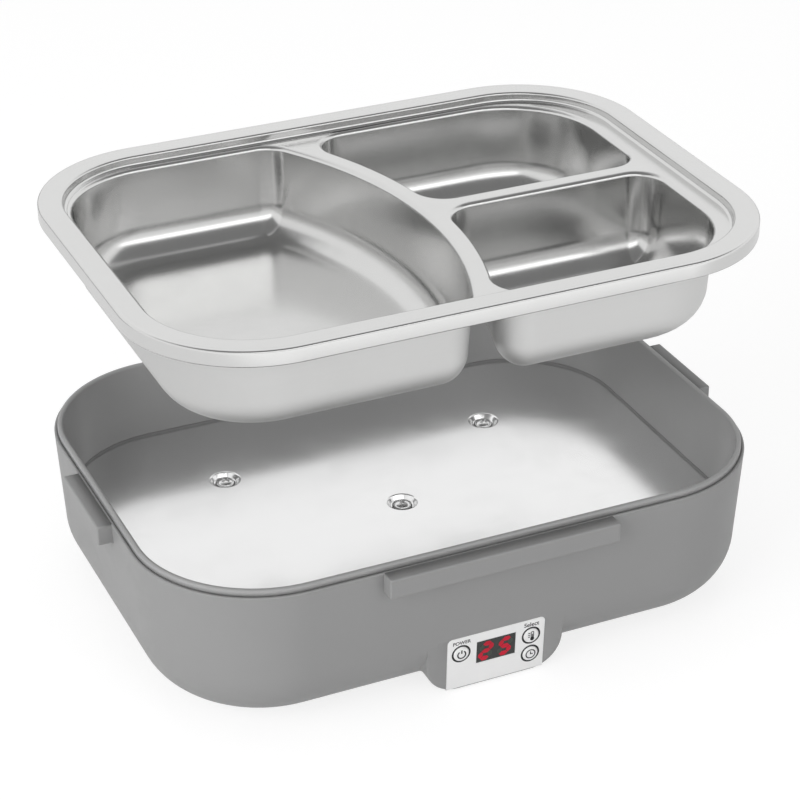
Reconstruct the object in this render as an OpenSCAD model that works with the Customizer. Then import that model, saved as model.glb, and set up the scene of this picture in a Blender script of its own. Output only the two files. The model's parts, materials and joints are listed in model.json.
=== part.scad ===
// Electric lunch box: a heated base with a control panel, and a three-compartment steel tray
// that lifts out of it. Millimetres. +Z is up, -Y is the control-panel side, and the origin is
// the centre of the footprint on the surface that the feet stand on.

/* [Base] */
// Length of the base opening at the lip
open_l = 240; // [200:1:300]
// Width of the base opening at the lip
open_w = 176; // [150:1:230]
// Corner radius of the base opening
open_r = 46; // [38:1:60]
// Height of the lip above the standing surface
base_h = 64.5; // [60:0.5:90]
// Height of the lip bead above the shoulder that the tray stands on
bead_h = 2.5; // [1.5:0.1:5]
// Thickness of the lip bead
bead_t = 2.2; // [1.8:0.1:2.8]
// Width of the shoulder outside the bead
shoulder_w = 1.3; // [1:0.1:1.4]
// Draft of the side walls, degrees
draft = 3.2; // [1:0.1:5]
// Radius of the rounded bottom edge
belly_r = 22; // [16:1:26]
// Wall of the outer shell
wall = 1.8; // [1.5:0.1:2]
// Wall of the inner collar
collar_t = 1.3; // [1:0.1:1.4]
// Depth of the collar below the lip, down to the pan joint
collar_h = 31.9; // [28:0.1:36]

/* [Lid catches] */
// Length of the catch bars on the two long sides
catch_long = 92.4; // [60:0.2:120]
// Length of the catch bars on the two short sides
catch_short = 40.6; // [30:0.2:60]
// How far the bars stand out from the wall
catch_out = 5.6; // [4:0.1:8]
// Height of the bars
catch_h = 8; // [5:0.5:12]

/* [Panel pads] */
// Width of the flat pads that drop below the rounded edge, front and back
pad_w = 56; // [54:1:70]
// Corner radius of the pads
pad_r = 13; // [8:1:14]
// Clearance between a pad and the standing surface
pad_lift = 0.4; // [0.2:0.1:1.5]
// Depth of a pad from its face towards the middle
pad_depth = 19; // [16:1:20]

/* [Control panel] */
// Width of the silver faceplate
plate_w = 40; // [38:0.5:44]
// Height of the faceplate
plate_h = 22.3; // [21:0.1:23]
// Thickness of the faceplate
plate_t = 1; // [0.8:0.1:1.2]
// Depth that the faceplate is let into the wall
plate_sink = 0.8; // [0.5:0.1:1]
// Radius of the faceplate's top corners
plate_r = 2; // [1:0.5:4]
// Height of the faceplate's centre above the standing surface
plate_z = 12.65; // [11.5:0.05:13]
// Width of the display window
window_w = 15.8; // [14:0.1:17]
// Height of the display window
window_h = 9.5; // [8:0.1:10]
// Height of the window's centre above the faceplate's centre
window_v = 2.6; // [0:0.1:3]
// Diameter of a button cap
button_d = 6.2; // [5:0.1:6.4]
// Travel of a button
button_travel = 0.5; // [0.3:0.05:0.6]
// Distance of the buttons from the middle of the faceplate
button_x = 14.4; // [13.8:0.1:16]
// Height of the upper buttons above the faceplate's centre
button_v = 4.2; // [3.9:0.1:5]

/* [Heating pan] */
// Sheet thickness of the pan
pan_t = 0.6; // [0.5:0.1:0.8]
// Height of the pan's turned-down edge
pan_edge = 3; // [1:0.5:6]
// Thickness of the seal between pan and collar
gasket_t = 0.8; // [0.6:0.1:1.2]
// Distance of the outer pan screws from the ends of the opening
pan_inset_x = 62.5; // [58:0.5:70]
// Distance of the outer pan screws from the sides of the opening
pan_inset_y = 43; // [36:0.5:48]
// Place of the middle pan screw, along the width
pan_mid_y = -5; // [-5:0.5:0]
// Depth of the dimple that sinks a screw head
dimple_h = 2.2; // [2.1:0.1:2.6]

/* [Bottom] */
// Height of the rubber feet below the bottom cover
foot_h = 3; // [2:0.5:5]
// Diameter of the rubber feet
foot_d = 12; // [9:1:16]
// Thickness of the bottom cover
cover_t = 2.4; // [2:0.1:3]
// Diameter of the screw shanks
screw_d = 3; // [2.5:0.1:3.2]

/* [Tray] */
// Sheet thickness of the tray
tray_t = 0.5; // [0.4:0.1:0.6]
// Height of the turned-down skirt of the rim
skirt_h = 6; // [4:0.5:8]
// Width of the flat flange of the rim
flange_w = 9.5; // [8:0.5:11]
// Drop from the flange to the web between the compartments
step_h = 4; // [1:0.1:5]
// Depth of the compartments below the web
bowl_depth = 36; // [28:0.5:40]
// Draft of the compartment walls, degrees
tray_draft = 3.5; // [2:0.5:7]
// Radius between the compartment walls and floors
tray_fillet = 13; // [6:0.5:14]
// Radius of the curved wall that bounds the large compartment
arc_r = 156; // [120:1:200]
// Place of the curved wall's crown, along the length
arc_x = 9; // [-20:1:20]
// Place of the curved wall's crown, along the width
arc_y = -10.5; // [-20:0.5:20]
// Web between the large compartment and the small ones
web_x = 8; // [7:0.5:14]
// Web between the two small compartments
web_y = 8; // [6:0.5:12]
// Margin from the flange's step to the large compartment
margin_left = 3; // [1:0.5:5]
// Margin from the flange's step to the small compartments
margin_right = 8; // [5:0.5:12]
// Margin from the flange's step to the compartments, front and back
margin_side = 3; // [1:0.5:6]
// How far the tray is held above its seat
tray_lift = 86.8; // [60:0.1:130]

/* [Hidden] */
$fn = 64;

// Clearances
fit = 0.1;          // between a fixed piece and the pocket or hole that takes it
seat_gap = 0.3;     // between the seated tray and what carries it
slide_gap = 0.3;    // around a button cap
rim_gap = 0.3;      // between the lip bead and the tray's skirt
cut = 1;            // how far a cutting shape runs past the face it cuts

// Levels
shoulder_z = base_h - bead_h;
collar_z = base_h - collar_h;
pan_top = collar_z - gasket_t;
belly_z = foot_h;
cover_top = belly_z + cover_t;

// Outer contour at the shoulder, and the rectangle through its corner centres
rim_out = bead_t + shoulder_w;
shell_l = open_l + 2 * rim_out;
shell_w = open_w + 2 * rim_out;
shell_r = open_r + rim_out;
core_l = open_l - 2 * open_r;
core_w = open_w - 2 * open_r;
belly_draw = (shoulder_z - belly_z - belly_r) * tan(draft);
belly_x = shell_r - belly_draw - belly_r;
belly_c = belly_z + belly_r;

// Bottom cover and its screws
cover_r = belly_x - 4;
ledge_w = 9;
ledge_t = 2;
ledge_root = 3;
boss_d = 8;
boss_h = 8;
boss_r = cover_r - ledge_w / 2;
boss_x = core_l / 4;
vent_l = 16;
vent_w = 2;
vent_pitch = 6;
foot_tip = 1;
foot_step = 0.8;
foot_sink = 0.8;
foot_shift = 3;
head_d = 6;
head_h = 1.4;
post_d = 8;

// Heater stack under the pan floor, between the pan's outer screws
pan_screw_x = open_l / 2 - pan_inset_x;
pan_screw_y = open_w / 2 - pan_inset_y;
plate_top = pan_top - pan_t;
heater_l = 2 * pan_screw_x - 16;
heater_w = 2 * pan_screw_y + 2;
heater_t = 2;
heater_corner = 6;
ptc_l = heater_l - 30;
ptc_w = 22;
ptc_t = 5;
ptc_y = heater_w / 4;
bracket_l = heater_l - 3;
bracket_w = heater_w - 20;
bracket_t = 1;
bracket_corner = 4;
stud_x = heater_l / 2 - 5;
stud_d = 3;
nut_d = 6.2;
nut_t = 2.4;
wool_t = 3;
wool_inset = 3;
shield_t = 0.6;
shield_inset = 2;
ptc_top = plate_top - heater_t;
bracket_top = ptc_top - ptc_t;
wool_top = bracket_top - bracket_t;
shield_top = wool_top - wool_t;
shield_z = shield_top - shield_t;
shield_post_x = heater_l / 2 - 6;
shield_post_y = heater_w / 2 - 14;
shield_post_d = 6;
mid_hole = 14;
probe_x = heater_l / 4;
probe_y = -4;
dimple_d = 11.5;
dimple_base = 9;
washer_t = 0.5;
pan_head_d = 7;
pan_head_h = 1.6;
pan_screw_l = 11;
pan_hole_d = screw_d + 4 * fit;
post_top = pan_top - dimple_h - pan_t;
pan_spots = concat([[0, pan_mid_y]], [for (x = [-1, 1], y = [-1, 1])
    [x * pan_screw_x, pan_mid_y + y * pan_screw_y]]);

// Power board, on the cover beside the heater
board_t = 1.6;
board_screw_d = 2;
board_head_d = 4;
board_head_h = 1.4;
power_x = core_l / 2 + 0.5;
power_l = 21;
power_w = 84;
power_z = cover_top + 2.6;
power_top = power_z + board_t;
power_post = 5;
power_inset = 3;
power_spots = [for (sx = [-1, 1], sy = [-1, 1])
    [power_x + sx * (power_l / 2 - power_inset), sy * (power_w / 2 - power_inset)]];
transformer_at = [power_x, -14];
capacitor_at = [power_x, -28.5];
relay_at = [power_x, 7];
relay_size = [15, 18, 10.5];
terminal_at = [power_x - 2, 26.5];
terminal_size = [12, 15, 8.5];

// Control board, behind the front pad, in the panel's own frame
display_l = 19;
display_w = 12.5;
display_t = 6;
display_gap = 0.3;
board_front = -(wall + display_gap + display_t);
control_l = 45;
control_w = 16.5;
control_v = 1.2;
control_post_x = 19.6;
control_post_d = 4;
control_cable_x = 14;
chip_t = 1.4;
window_ledge = 0.8;
button_proud = 0.5;
button_flange = button_d + 1.2;
button_flange_t = 0.8;
button_rest = 0.3;
stem_d = 3;
switch_l = 6;
switch_t = 3.5;
plunger_d = 3.3;
plunger_t = 0.6;
button_spots = [[-button_x, button_v], [button_x, button_v], [button_x, -button_v]];

// Power inlet, in the rear pad's own frame
inlet_w = 25;
inlet_h = 15.6;
inlet_depth = 18;
inlet_flange = 2;
inlet_flange_t = 1.2;
socket_w = 16.5;
socket_h = 9;
socket_depth = 14.8;
pin_d = 2.4;
pin_pitch = 8.6;
pin_l = 9.3;
tab_l = 4;
tab_w = 4;
tab_t = 0.8;

// Tray
rim_over = bead_t + rim_gap + tray_t;
tray_depth = bowl_depth + step_h;
tray_seat = seat_gap + max(pan_top + tray_depth, shoulder_z + skirt_h);
rim_l = open_l + 2 * rim_over;
rim_w = open_w + 2 * rim_over;
rim_r = open_r + rim_over;
rim_z = tray_seat + tray_lift;
web_z = rim_z - step_h;
bowl_left = -(rim_l / 2 - flange_w - margin_left);
bowl_right = rim_l / 2 - flange_w - margin_right;
bowl_side = rim_w / 2 - flange_w - margin_side;
arc_c = arc_x - arc_r;
bowl_r = rim_r - flange_w - margin_side;
corner_r = 12;
inner_r = 11;
least_r = 1.5;
corner_steps = 6;
arc_steps = 12;
fillet_steps = 5;

// Inward shift of the collar's inner face at height z, from the opening's contour
function inner_shift(z) = -(base_h - z) * tan(draft);

// Inward shift of the shell's outer face at height z, from the opening's contour
function outer_shift(z) = rim_out - (shoulder_z - z) * tan(draft);

// Point in the front pad's frame: x right, v up the face, d out of the wall
function panel_point(x, v, d) = [x, -face_y - d * cos(draft) - v * sin(draft),
    plate_z - d * sin(draft) + v * cos(draft)];

// The same point in the rear pad's frame
function rear_point(x, v, d) = let (p = panel_point(x, v, d)) [p[0], -p[1], p[2]];

// Wires, each with its ends let into the pieces that it joins
wire_r = 1;
cable_r = 1.5;
wire_sides = 8;
bite = 0.5;
face_y = open_w / 2 + outer_shift(plate_z);
ptc_z = (ptc_top + bracket_top) / 2;
duct_z = cover_top + 12.6;
terminal_y = terminal_at[1] + terminal_size[1] / 2;
terminal_x = terminal_at[0] - terminal_size[0] / 2;
relay_x = relay_at[0] - relay_size[0] / 2;

// The wire from one inlet pin to the terminal block; s is the side of the pin
function mains_route(s) = let (z = duct_z - 1.4 * s)
    [rear_point(s * pin_pitch / 2, 0, bite - inlet_depth - tab_l),
        [s * pin_pitch / 2 + 4, face_y - 26, z - 2], [20, face_y - 24, z], [50, face_y - 24, z],
        [power_x - 10, face_y - 34, z], [terminal_at[0] + 2.4 * s, terminal_y + 6, power_top + 5],
        [terminal_at[0] + 2.4 * s, terminal_y - bite, power_top + 5]];

// The wire from one heating element; the back one ends in the terminal block
heater_back = [[ptc_l / 2 - bite, ptc_y, ptc_z], [heater_l / 2 + 2, ptc_y, ptc_z],
    [power_x - 14, terminal_at[1] - 1, power_top + 7], [terminal_x - 4, terminal_at[1], power_top + 5],
    [terminal_x + bite, terminal_at[1], power_top + 5]];

// The front one ends in the relay
heater_front = [[ptc_l / 2 - bite, -ptc_y, ptc_z], [heater_l / 2 + 2, -ptc_y, ptc_z],
    [power_x - 14, -6, power_top + 8], [relay_x - 4, relay_at[1] - 2, power_top + 5],
    [relay_x + bite, relay_at[1], power_top + 5]];

cable_route = [panel_point(control_cable_x, 3, board_front - board_t + bite),
    panel_point(control_cable_x, 3, board_front - board_t - 4), [24, 20 - face_y, duct_z],
    [34, 22 - face_y, duct_z], [power_x - 14, 25 - face_y, duct_z],
    [power_x - 2, -power_w / 2 - 8, power_z + 3],
    [power_x, -power_w / 2 - 3, power_z + board_t / 2],
    [power_x, -power_w / 2 + bite, power_z + board_t / 2]];

// ---------- shared shapes ----------

// Sweeps a section around a rounded rectangle whose corner centres form a core of l by w.
// In the section, x is the distance out from the core and y is the height.
module sweep(l, w) {
    for (mx = [0, 1], my = [0, 1])
        mirror([mx, 0, 0]) mirror([0, my, 0])
            translate([l / 2, w / 2, 0]) rotate_extrude(angle = 90) children();
    for (my = [0, 1])
        mirror([0, my, 0]) translate([-l / 2, w / 2, 0])
            rotate([90, 0, 90]) linear_extrude(l) children();
    for (mx = [0, 1])
        mirror([mx, 0, 0]) translate([l / 2, w / 2, 0])
            rotate([90, 0, 0]) linear_extrude(w) children();
}

// The same sweep for a section that starts at x = 0, with the core filled from z0 to z1
module sweep_solid(l, w, z0, z1) {
    sweep(l, w) children();
    translate([-l / 2, -w / 2, z0]) cube([l, w, z1 - z0]);
}

// Plate with rounded corners, centred, from z up by t
module round_plate(l, w, r, z, t) {
    translate([0, 0, z]) linear_extrude(t) round_rect(l, w, r);
}

module round_rect(l, w, r) {
    square([l - 2 * r, w], center = true);
    square([l, w - 2 * r], center = true);
    for (x = [-1, 1], y = [-1, 1])
        translate([x * (l / 2 - r), y * (w / 2 - r)]) circle(r);
}

module block(size, z) {
    translate([-size[0] / 2, -size[1] / 2, z]) cube(size);
}

module rod(d, z0, z1) {
    translate([0, 0, z0]) cylinder(d = d, h = z1 - z0);
}

module at(spots) {
    for (p = spots) translate([p[0], p[1], 0]) children();
}

// Moves to the middle of the front pad's face: x right, y up the face, z out of the wall
module on_panel() {
    translate([0, -face_y, plate_z])
        rotate([90 + draft, 0, 0]) children();
}

// The same place on the rear pad
module on_rear() {
    mirror([0, 1, 0]) on_panel() children();
}

// Tube through a list of points, as one closed skin
module tube(route, r) {
    n = len(route);
    heading = [for (i = [0 : n - 1]) route[min(i + 1, n - 1)] - route[max(i - 1, 0)]];
    skin = [for (i = [0 : n - 1]) each tube_ring(route[i], heading[i], r)];
    sides = [for (i = [0 : n - 2], k = [0 : wire_sides - 1]) let (m = (k + 1) % wire_sides)
        [i * wire_sides + k, i * wire_sides + m, (i + 1) * wire_sides + m, (i + 1) * wire_sides + k]];
    first = [for (k = [wire_sides - 1 : -1 : 0]) k];
    last = [for (k = [0 : wire_sides - 1]) (n - 1) * wire_sides + k];
    polyhedron(skin, concat(sides, [first, last]));
}

function unit(v) = v / norm(v);

function tube_ring(p, d, r) = let (side = unit(cross(d, [0, 0, 1])), up = unit(cross(side, d)))
    [for (k = [0 : wire_sides - 1]) let (a = -360 * k / wire_sides)
        p + r * (cos(a) * side + sin(a) * up)];

// ---------- outer shell ----------

// Section of the base body, drawn in by t from its outer face, up to the height top
module body_section(t, top) {
    polygon([[0, belly_z + t], [belly_x, belly_z + t], [belly_x + belly_r - t, belly_c],
        [open_r + outer_shift(top) - t, top], [0, top]]);
    intersection() {
        translate([belly_x, belly_c]) circle(belly_r - t);
        translate([belly_x, belly_c - belly_r]) square(belly_r);
    }
}

// Front pad as a solid, drawn in by t from its outer faces
module pad_solid(t) {
    face = open_w / 2 + outer_shift(pad_lift) - t;
    high = open_w / 2 + outer_shift(belly_c) - t;
    low = pad_lift + t;
    intersection() {
        translate([-pad_w / 2, 0, 0]) rotate([90, 0, 90]) linear_extrude(pad_w)
            polygon([[-face, low], [-high, belly_c], [-face + pad_depth, belly_c],
                [-face + pad_depth - 2 * t, low]]);
        rotate([90, 0, 0]) linear_extrude(open_w) pad_outline(t);
    }
}

module pad_outline(t) {
    half = pad_w / 2 - t;
    r = pad_r - t;
    low = pad_lift + t;
    translate([-half, low + r]) square([2 * half, belly_c - low - r]);
    translate([-half + r, low]) square([2 * (half - r), r]);
    for (x = [-1, 1]) translate([x * (half - r), low + r]) circle(r);
}

// Bar that a lid's clip hooks under, from the wall's inner face outwards
module catch_bar(length) {
    edge = 0.6;
    low = shoulder_z - catch_h;
    rotate([90, 0, 90]) linear_extrude(length, center = true)
        polygon([[-wall, shoulder_z], [catch_out - edge, shoulder_z],
            [catch_out, shoulder_z - edge], [catch_out, low + edge], [catch_out - edge, low],
            [-wall, low]]);
}

module catches() {
    for (a = [0, 180]) rotate(a) translate([0, shell_w / 2, 0]) catch_bar(catch_long);
    for (a = [90, 270]) rotate(a) translate([0, shell_l / 2, 0]) catch_bar(catch_short);
}

module cover_spots() {
    for (x = [-1, 1], y = [-1, 1])
        translate([x * boss_x, y * (core_w / 2 + boss_r), 0]) children();
    for (x = [-1, 1]) translate([x * (core_l / 2 + boss_r), 0, 0]) children();
}

module outer_shell() {
    color("#8f8f8f") {
        difference() {
            union() {
                sweep_solid(core_l, core_w, belly_z, shoulder_z) body_section(0, shoulder_z);
                pad_solid(0);
                mirror([0, 1, 0]) pad_solid(0);
                catches();
            }
            sweep_solid(core_l, core_w, belly_z + wall, shoulder_z + cut)
                body_section(wall, shoulder_z + cut);
            pad_solid(wall);
            mirror([0, 1, 0]) pad_solid(wall);
            sweep_solid(core_l, core_w, belly_z - cut, cover_top)
                translate([0, belly_z - cut]) square([cover_r, cover_t + cut]);
            on_panel() panel_cuts();
            on_rear() block([inlet_w + 2 * fit, inlet_h + 2 * fit, wall + 2 * cut], -wall - cut);
        }
        difference() {
            sweep(core_l, core_w) {
                translate([cover_r - ledge_w, cover_top]) square([ledge_w + ledge_root, ledge_t]);
                translate([cover_r, belly_z + wall / 2])
                    square([ledge_root, cover_top + ledge_t - belly_z - wall / 2]);
            }
            cover_spots() rod(screw_d + 2 * fit, cover_top - cut, cover_top + boss_h);
        }
        difference() {
            cover_spots() rod(boss_d, cover_top + ledge_t / 2, cover_top + ledge_t + boss_h);
            cover_spots() rod(screw_d + 2 * fit, cover_top - cut, cover_top + boss_h);
        }
        on_panel() difference() {
            at(control_posts()) rod(control_post_d, board_front, -wall + fit);
            at(control_posts()) rod(board_screw_d + 2 * fit, board_front - cut, -wall - fit);
        }
    }
}

function control_posts() = [for (s = [-1, 1]) [s * control_post_x, 0]];

module panel_cuts() {
    translate([0, 0, -plate_sink]) linear_extrude(plate_sink + cut) {
        plate_outline(fit);
        translate([-plate_w / 2 - fit, -plate_h / 2 - cut]) square([plate_w + 2 * fit, plate_h / 2]);
    }
    at([[0, window_v]])
        block([window_w - 2 * window_ledge, window_h - 2 * window_ledge, wall + 2 * cut], -wall - cut);
    at(button_spots) rod(button_d + 2 * slide_gap, -wall - cut, cut);
}

// ---------- base, upper part ----------

module inner_collar() {
    bead = bead_t / 2;
    low = open_r + inner_shift(collar_z);
    high = open_r + inner_shift(shoulder_z);
    color("#9a9a9a") sweep(core_l, core_w) {
        polygon([[low, collar_z], [low + collar_t, collar_z], [high + collar_t, shoulder_z],
            [open_r + bead_t, shoulder_z], [open_r + bead_t, base_h - bead],
            [open_r, base_h - bead], [high, shoulder_z]]);
        translate([open_r + bead, base_h - bead]) circle(bead);
    }
}

module pan_gasket() {
    inner = open_r + inner_shift(collar_z);
    color("#3c3c3c") sweep(core_l, core_w)
        translate([inner + fit, pan_top]) square([collar_t - 2 * fit, gasket_t]);
}

module heating_pan() {
    edge = open_r + inner_shift(pan_top) + collar_t;
    color("#cfcfcf") difference() {
        union() {
            sweep_solid(core_l, core_w, pan_top - pan_t, pan_top)
                translate([0, pan_top - pan_t]) square([edge, pan_t]);
            sweep(core_l, core_w) translate([edge - pan_t, pan_top - pan_edge])
                square([pan_t, pan_edge]);
            at(pan_spots) translate([0, 0, post_top])
                cylinder(d1 = dimple_base + 2 * pan_t, d2 = dimple_d + 2 * pan_t, h = dimple_h);
        }
        at(pan_spots) translate([0, 0, post_top + pan_t])
            cylinder(d1 = dimple_base, d2 = dimple_d, h = dimple_h + fit / 2);
        at(pan_spots) rod(pan_hole_d, post_top - cut, post_top + 2 * pan_t);
    }
}

// Cross-headed screw with its head's underside at z = 0 and its shank below
module screw(d, l, hd, hh) {
    slot_w = hd / 6;
    slot_l = hd / 2;
    difference() {
        union() {
            cylinder(d = hd, h = hh);
            rod(d, -l, fit);
        }
        for (a = [0, 90]) rotate(a) block([slot_l, slot_w, hh], hh / 2);
    }
}

module pan_screws() {
    color("#d8d8d8") at(pan_spots) translate([0, 0, post_top + pan_t + washer_t])
        screw(screw_d, pan_screw_l, pan_head_d, pan_head_h);
}

module screw_washers() {
    color("#3c3c3c") at(pan_spots) difference() {
        rod(pan_head_d + 1, post_top + pan_t, post_top + pan_t + washer_t);
        rod(screw_d + 2 * fit, post_top, pan_top);
    }
}

// ---------- heater stack ----------

function stud_spots() = [[-stud_x, 0], [stud_x, 0]];

module heater_plate() {
    color("#c9ccd0") {
        difference() {
            round_plate(heater_l, heater_w, heater_corner, ptc_top, heater_t);
            translate([0, pan_mid_y, 0]) rod(mid_hole, ptc_top - cut, plate_top + cut);
        }
        at(stud_spots()) rod(stud_d, wool_top - nut_t, ptc_top + heater_t / 2);
    }
}

module ptc_heaters() {
    color("#b9b9bd") for (y = [-1, 1]) translate([0, y * ptc_y, 0])
        block([ptc_l, ptc_w, ptc_t], bracket_top);
}

module heater_bracket() {
    color("#a8abb0") difference() {
        round_plate(bracket_l, bracket_w, bracket_corner, wool_top, bracket_t);
        translate([0, pan_mid_y, 0]) rod(mid_hole, wool_top - cut, bracket_top + cut);
        at(stud_spots()) rod(stud_d + 2 * fit, wool_top - cut, bracket_top + cut);
    }
}

module bracket_nuts() {
    color("#c4c4c4") at(stud_spots()) difference() {
        translate([0, 0, wool_top - nut_t]) cylinder(d = nut_d, h = nut_t, $fn = 6);
        rod(stud_d + fit, wool_top - nut_t - cut, wool_top + cut);
    }
}

module insulation_pad() {
    color("#e6e2d6") difference() {
        round_plate(heater_l, heater_w - 2 * wool_inset, heater_corner, shield_top, wool_t);
        translate([0, pan_mid_y, 0]) rod(mid_hole, shield_top - cut, wool_top + cut);
        at(stud_spots()) rod(nut_d + 2, shield_top - cut, wool_top + cut);
    }
}

module heat_shield() {
    color("#bfc2c6") difference() {
        round_plate(heater_l, heater_w - 2 * shield_inset, heater_corner, shield_z, shield_t);
        translate([0, pan_mid_y, 0]) rod(mid_hole, shield_z - cut, shield_top + cut);
    }
}

module thermal_fuse() {
    fuse_d = 4;
    fuse_l = 14;
    color("#e8e8e8") translate([-probe_x, probe_y, ptc_top - fuse_d / 2]) rotate([0, 90, 0]) {
        rod(fuse_d, -fuse_l / 2, fuse_l / 2);
        rod(1, -fuse_l, fuse_l);
    }
}

module temperature_sensor() {
    probe_d = 5;
    probe_l = 12;
    color("#2f2f2f") translate([probe_x, probe_y, ptc_top - probe_d / 2]) rotate([0, 90, 0]) {
        rod(probe_d, -probe_l / 2, probe_l / 2);
        rod(2, 0, probe_l);
    }
}

// ---------- bottom ----------

function foot_spots() = [for (x = [-1, 1], y = [-1, 1])
    [x * (core_l / 2 + foot_shift), y * (core_w / 2 + foot_shift)]];

module bottom_cover() {
    shield_spots = [for (x = [-1, 1], y = [-1, 1]) [x * shield_post_x, y * shield_post_y]];
    color("#7d7d7d") difference() {
        union() {
            sweep_solid(core_l, core_w, belly_z, cover_top)
                translate([0, belly_z]) square([cover_r - fit, cover_t]);
            at(pan_spots) rod(post_d, belly_z + cover_t / 2, post_top);
            at(shield_spots) rod(shield_post_d, belly_z + cover_t / 2, shield_z);
            at(power_spots) rod(power_post, belly_z + cover_t / 2, power_z);
        }
        at(pan_spots) rod(screw_d + 2 * fit, post_top - pan_screw_l - cut, post_top + cut);
        at(power_spots) rod(board_screw_d + 2 * fit, cover_top, power_z + cut);
        at(foot_spots()) rod(foot_d + 2 * fit, belly_z - cut, belly_z + foot_sink);
        cover_spots() rod(screw_d + 4 * fit, belly_z - cut, cover_top + cut);
        cover_spots() rod(head_d + 4 * fit, belly_z - cut, belly_z + head_h);
        for (k = [-3 : 3]) translate([-core_l / 2, k * vent_pitch, 0])
            block([vent_l, vent_w, cover_t + 2 * cut], belly_z - cut);
    }
}

module cover_screws() {
    color("#c4c4c4") cover_spots() translate([0, 0, belly_z + head_h]) mirror([0, 0, 1])
        screw(screw_d, boss_h, head_d, head_h);
}

module rubber_feet() {
    color("#303030") at(foot_spots()) {
        rod(foot_d - 2 * foot_tip, 0, foot_h);
        rod(foot_d, foot_step, belly_z + foot_sink);
    }
}

// ---------- power inlet and power board ----------

module power_inlet() {
    color("#262626") on_rear() difference() {
        union() {
            block([inlet_w, inlet_h, inlet_depth], -inlet_depth);
            block([inlet_w + 2 * inlet_flange, inlet_h + 2 * inlet_flange, inlet_flange_t], 0);
        }
        translate([0, 0, inlet_flange_t - socket_depth]) linear_extrude(socket_depth + cut)
            round_rect(socket_w, socket_h, socket_h / 2 - 0.5);
        for (x = [-1, 1]) translate([x * pin_pitch / 2, 0, 0])
            rod(pin_d + fit, -inlet_depth - cut, 0);
    }
}

module inlet_pins() {
    floor = inlet_flange_t - socket_depth;
    color("#d9c27a") on_rear() for (x = [-1, 1]) translate([x * pin_pitch / 2, 0, 0]) {
        rod(pin_d, -inlet_depth, floor + pin_l);
        block([tab_t, tab_w, tab_l], -inlet_depth - tab_l);
    }
}

module power_board() {
    color("#2f6b3c") difference() {
        translate([power_x, 0, 0]) block([power_l, power_w, board_t], power_z);
        at(power_spots) rod(board_screw_d + 4 * fit, power_z - cut, power_top + cut);
    }
}

module transformer() {
    core = [15, 16, 10];
    winding = [10, 12, 11];
    color("#d9b13a") at([transformer_at]) {
        block(core, power_top);
        block(winding, power_top);
    }
}

module capacitor() {
    can_d = 9;
    can_h = 11;
    color("#2a3f6b") at([capacitor_at]) rod(can_d, power_top, power_top + can_h);
}

module relay() {
    color("#2b2b2b") at([relay_at]) block(relay_size, power_top);
}

module terminal_block() {
    top = power_top + terminal_size[2];
    pitch = 4.8;
    well_d = 2.4;
    well_h = 1.5;
    color("#3f7f4a") at([terminal_at]) difference() {
        block(terminal_size, power_top);
        for (k = [-1 : 1]) translate([0, k * pitch, 0]) rod(well_d, top - well_h, top + cut);
    }
}

// ---------- control panel ----------

module plate_outline(grow) {
    w = plate_w + 2 * grow;
    r = plate_r + grow;
    h = plate_h / 2 + grow;
    translate([-w / 2, -h]) square([w, 2 * h - r]);
    translate([-w / 2 + r, -h]) square([w - 2 * r, 2 * h]);
    for (x = [-1, 1]) translate([x * (w / 2 - r), h - r]) circle(r);
}

module faceplate() {
    color("#dedede") on_panel() difference() {
        translate([0, 0, -plate_sink]) linear_extrude(plate_t) plate_outline(0);
        at([[0, window_v]]) block([window_w + 2 * fit, window_h + 2 * fit, wall * 2], -wall);
        at(button_spots) rod(button_d + 2 * slide_gap, -wall, wall);
    }
}

module display_window() {
    color("#3a3a3a") on_panel() at([[0, window_v]])
        block([window_w, window_h, plate_t], -plate_sink);
}

module display_module() {
    color("#1f1f1f") on_panel() at([[0, window_v]])
        block([display_l, display_w, display_t], board_front);
}

module control_board() {
    color("#2f6b3c") on_panel() difference() {
        translate([0, control_v, 0]) block([control_l, control_w, board_t], board_front - board_t);
        at(control_posts()) rod(board_screw_d + 4 * fit, board_front - board_t - cut, 0);
    }
}

module board_screws() {
    power_screw_l = board_t + power_z - cover_top - cut / 2;
    control_screw_l = board_t + display_t / 2;
    color("#c4c4c4") {
        at(power_spots) translate([0, 0, power_top])
            screw(board_screw_d, power_screw_l, board_head_d, board_head_h);
        on_panel() at(control_posts()) translate([0, 0, board_front - board_t])
            mirror([0, 0, 1]) screw(board_screw_d, control_screw_l, board_head_d, board_head_h);
    }
}

module control_chip() {
    side = 10;
    shift = 6;
    color("#1c1c1c") on_panel() translate([-shift, control_v, 0])
        block([side, side, chip_t], board_front - board_t - chip_t);
}

module tact_switches() {
    color("#333333") on_panel() at(button_spots) {
        block([switch_l, switch_l, switch_t], board_front);
        rod(plunger_d, board_front + switch_t / 2, board_front + switch_t + plunger_t);
    }
}

module button_cap(spot) {
    back = -wall - button_rest;
    stem = board_front + switch_t + plunger_t + button_travel + slide_gap;
    color("#dedede") on_panel() at([spot]) {
        rod(button_d, back - button_flange_t / 2, plate_t - plate_sink + button_proud);
        rod(button_flange, back - button_flange_t, back);
        rod(stem_d, stem, back);
    }
}

module power_button() {
    button_cap(button_spots[0]);
}

module temperature_button() {
    button_cap(button_spots[1]);
}

module timer_button() {
    button_cap(button_spots[2]);
}

// ---------- wires ----------

module mains_wires() {
    color("#8a5a2c") for (s = [-1, 1]) tube(mains_route(s), wire_r);
}

module heater_wires() {
    color("#b03a30") {
        tube(heater_back, wire_r);
        tube(heater_front, wire_r);
    }
}

module panel_cable() {
    color("#d0d0d0") tube(cable_route, cable_r);
}

// ---------- food tray ----------

function arc_point(c, r, a) = [c[0] + r * cos(a), c[1] + r * sin(a)];

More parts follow.
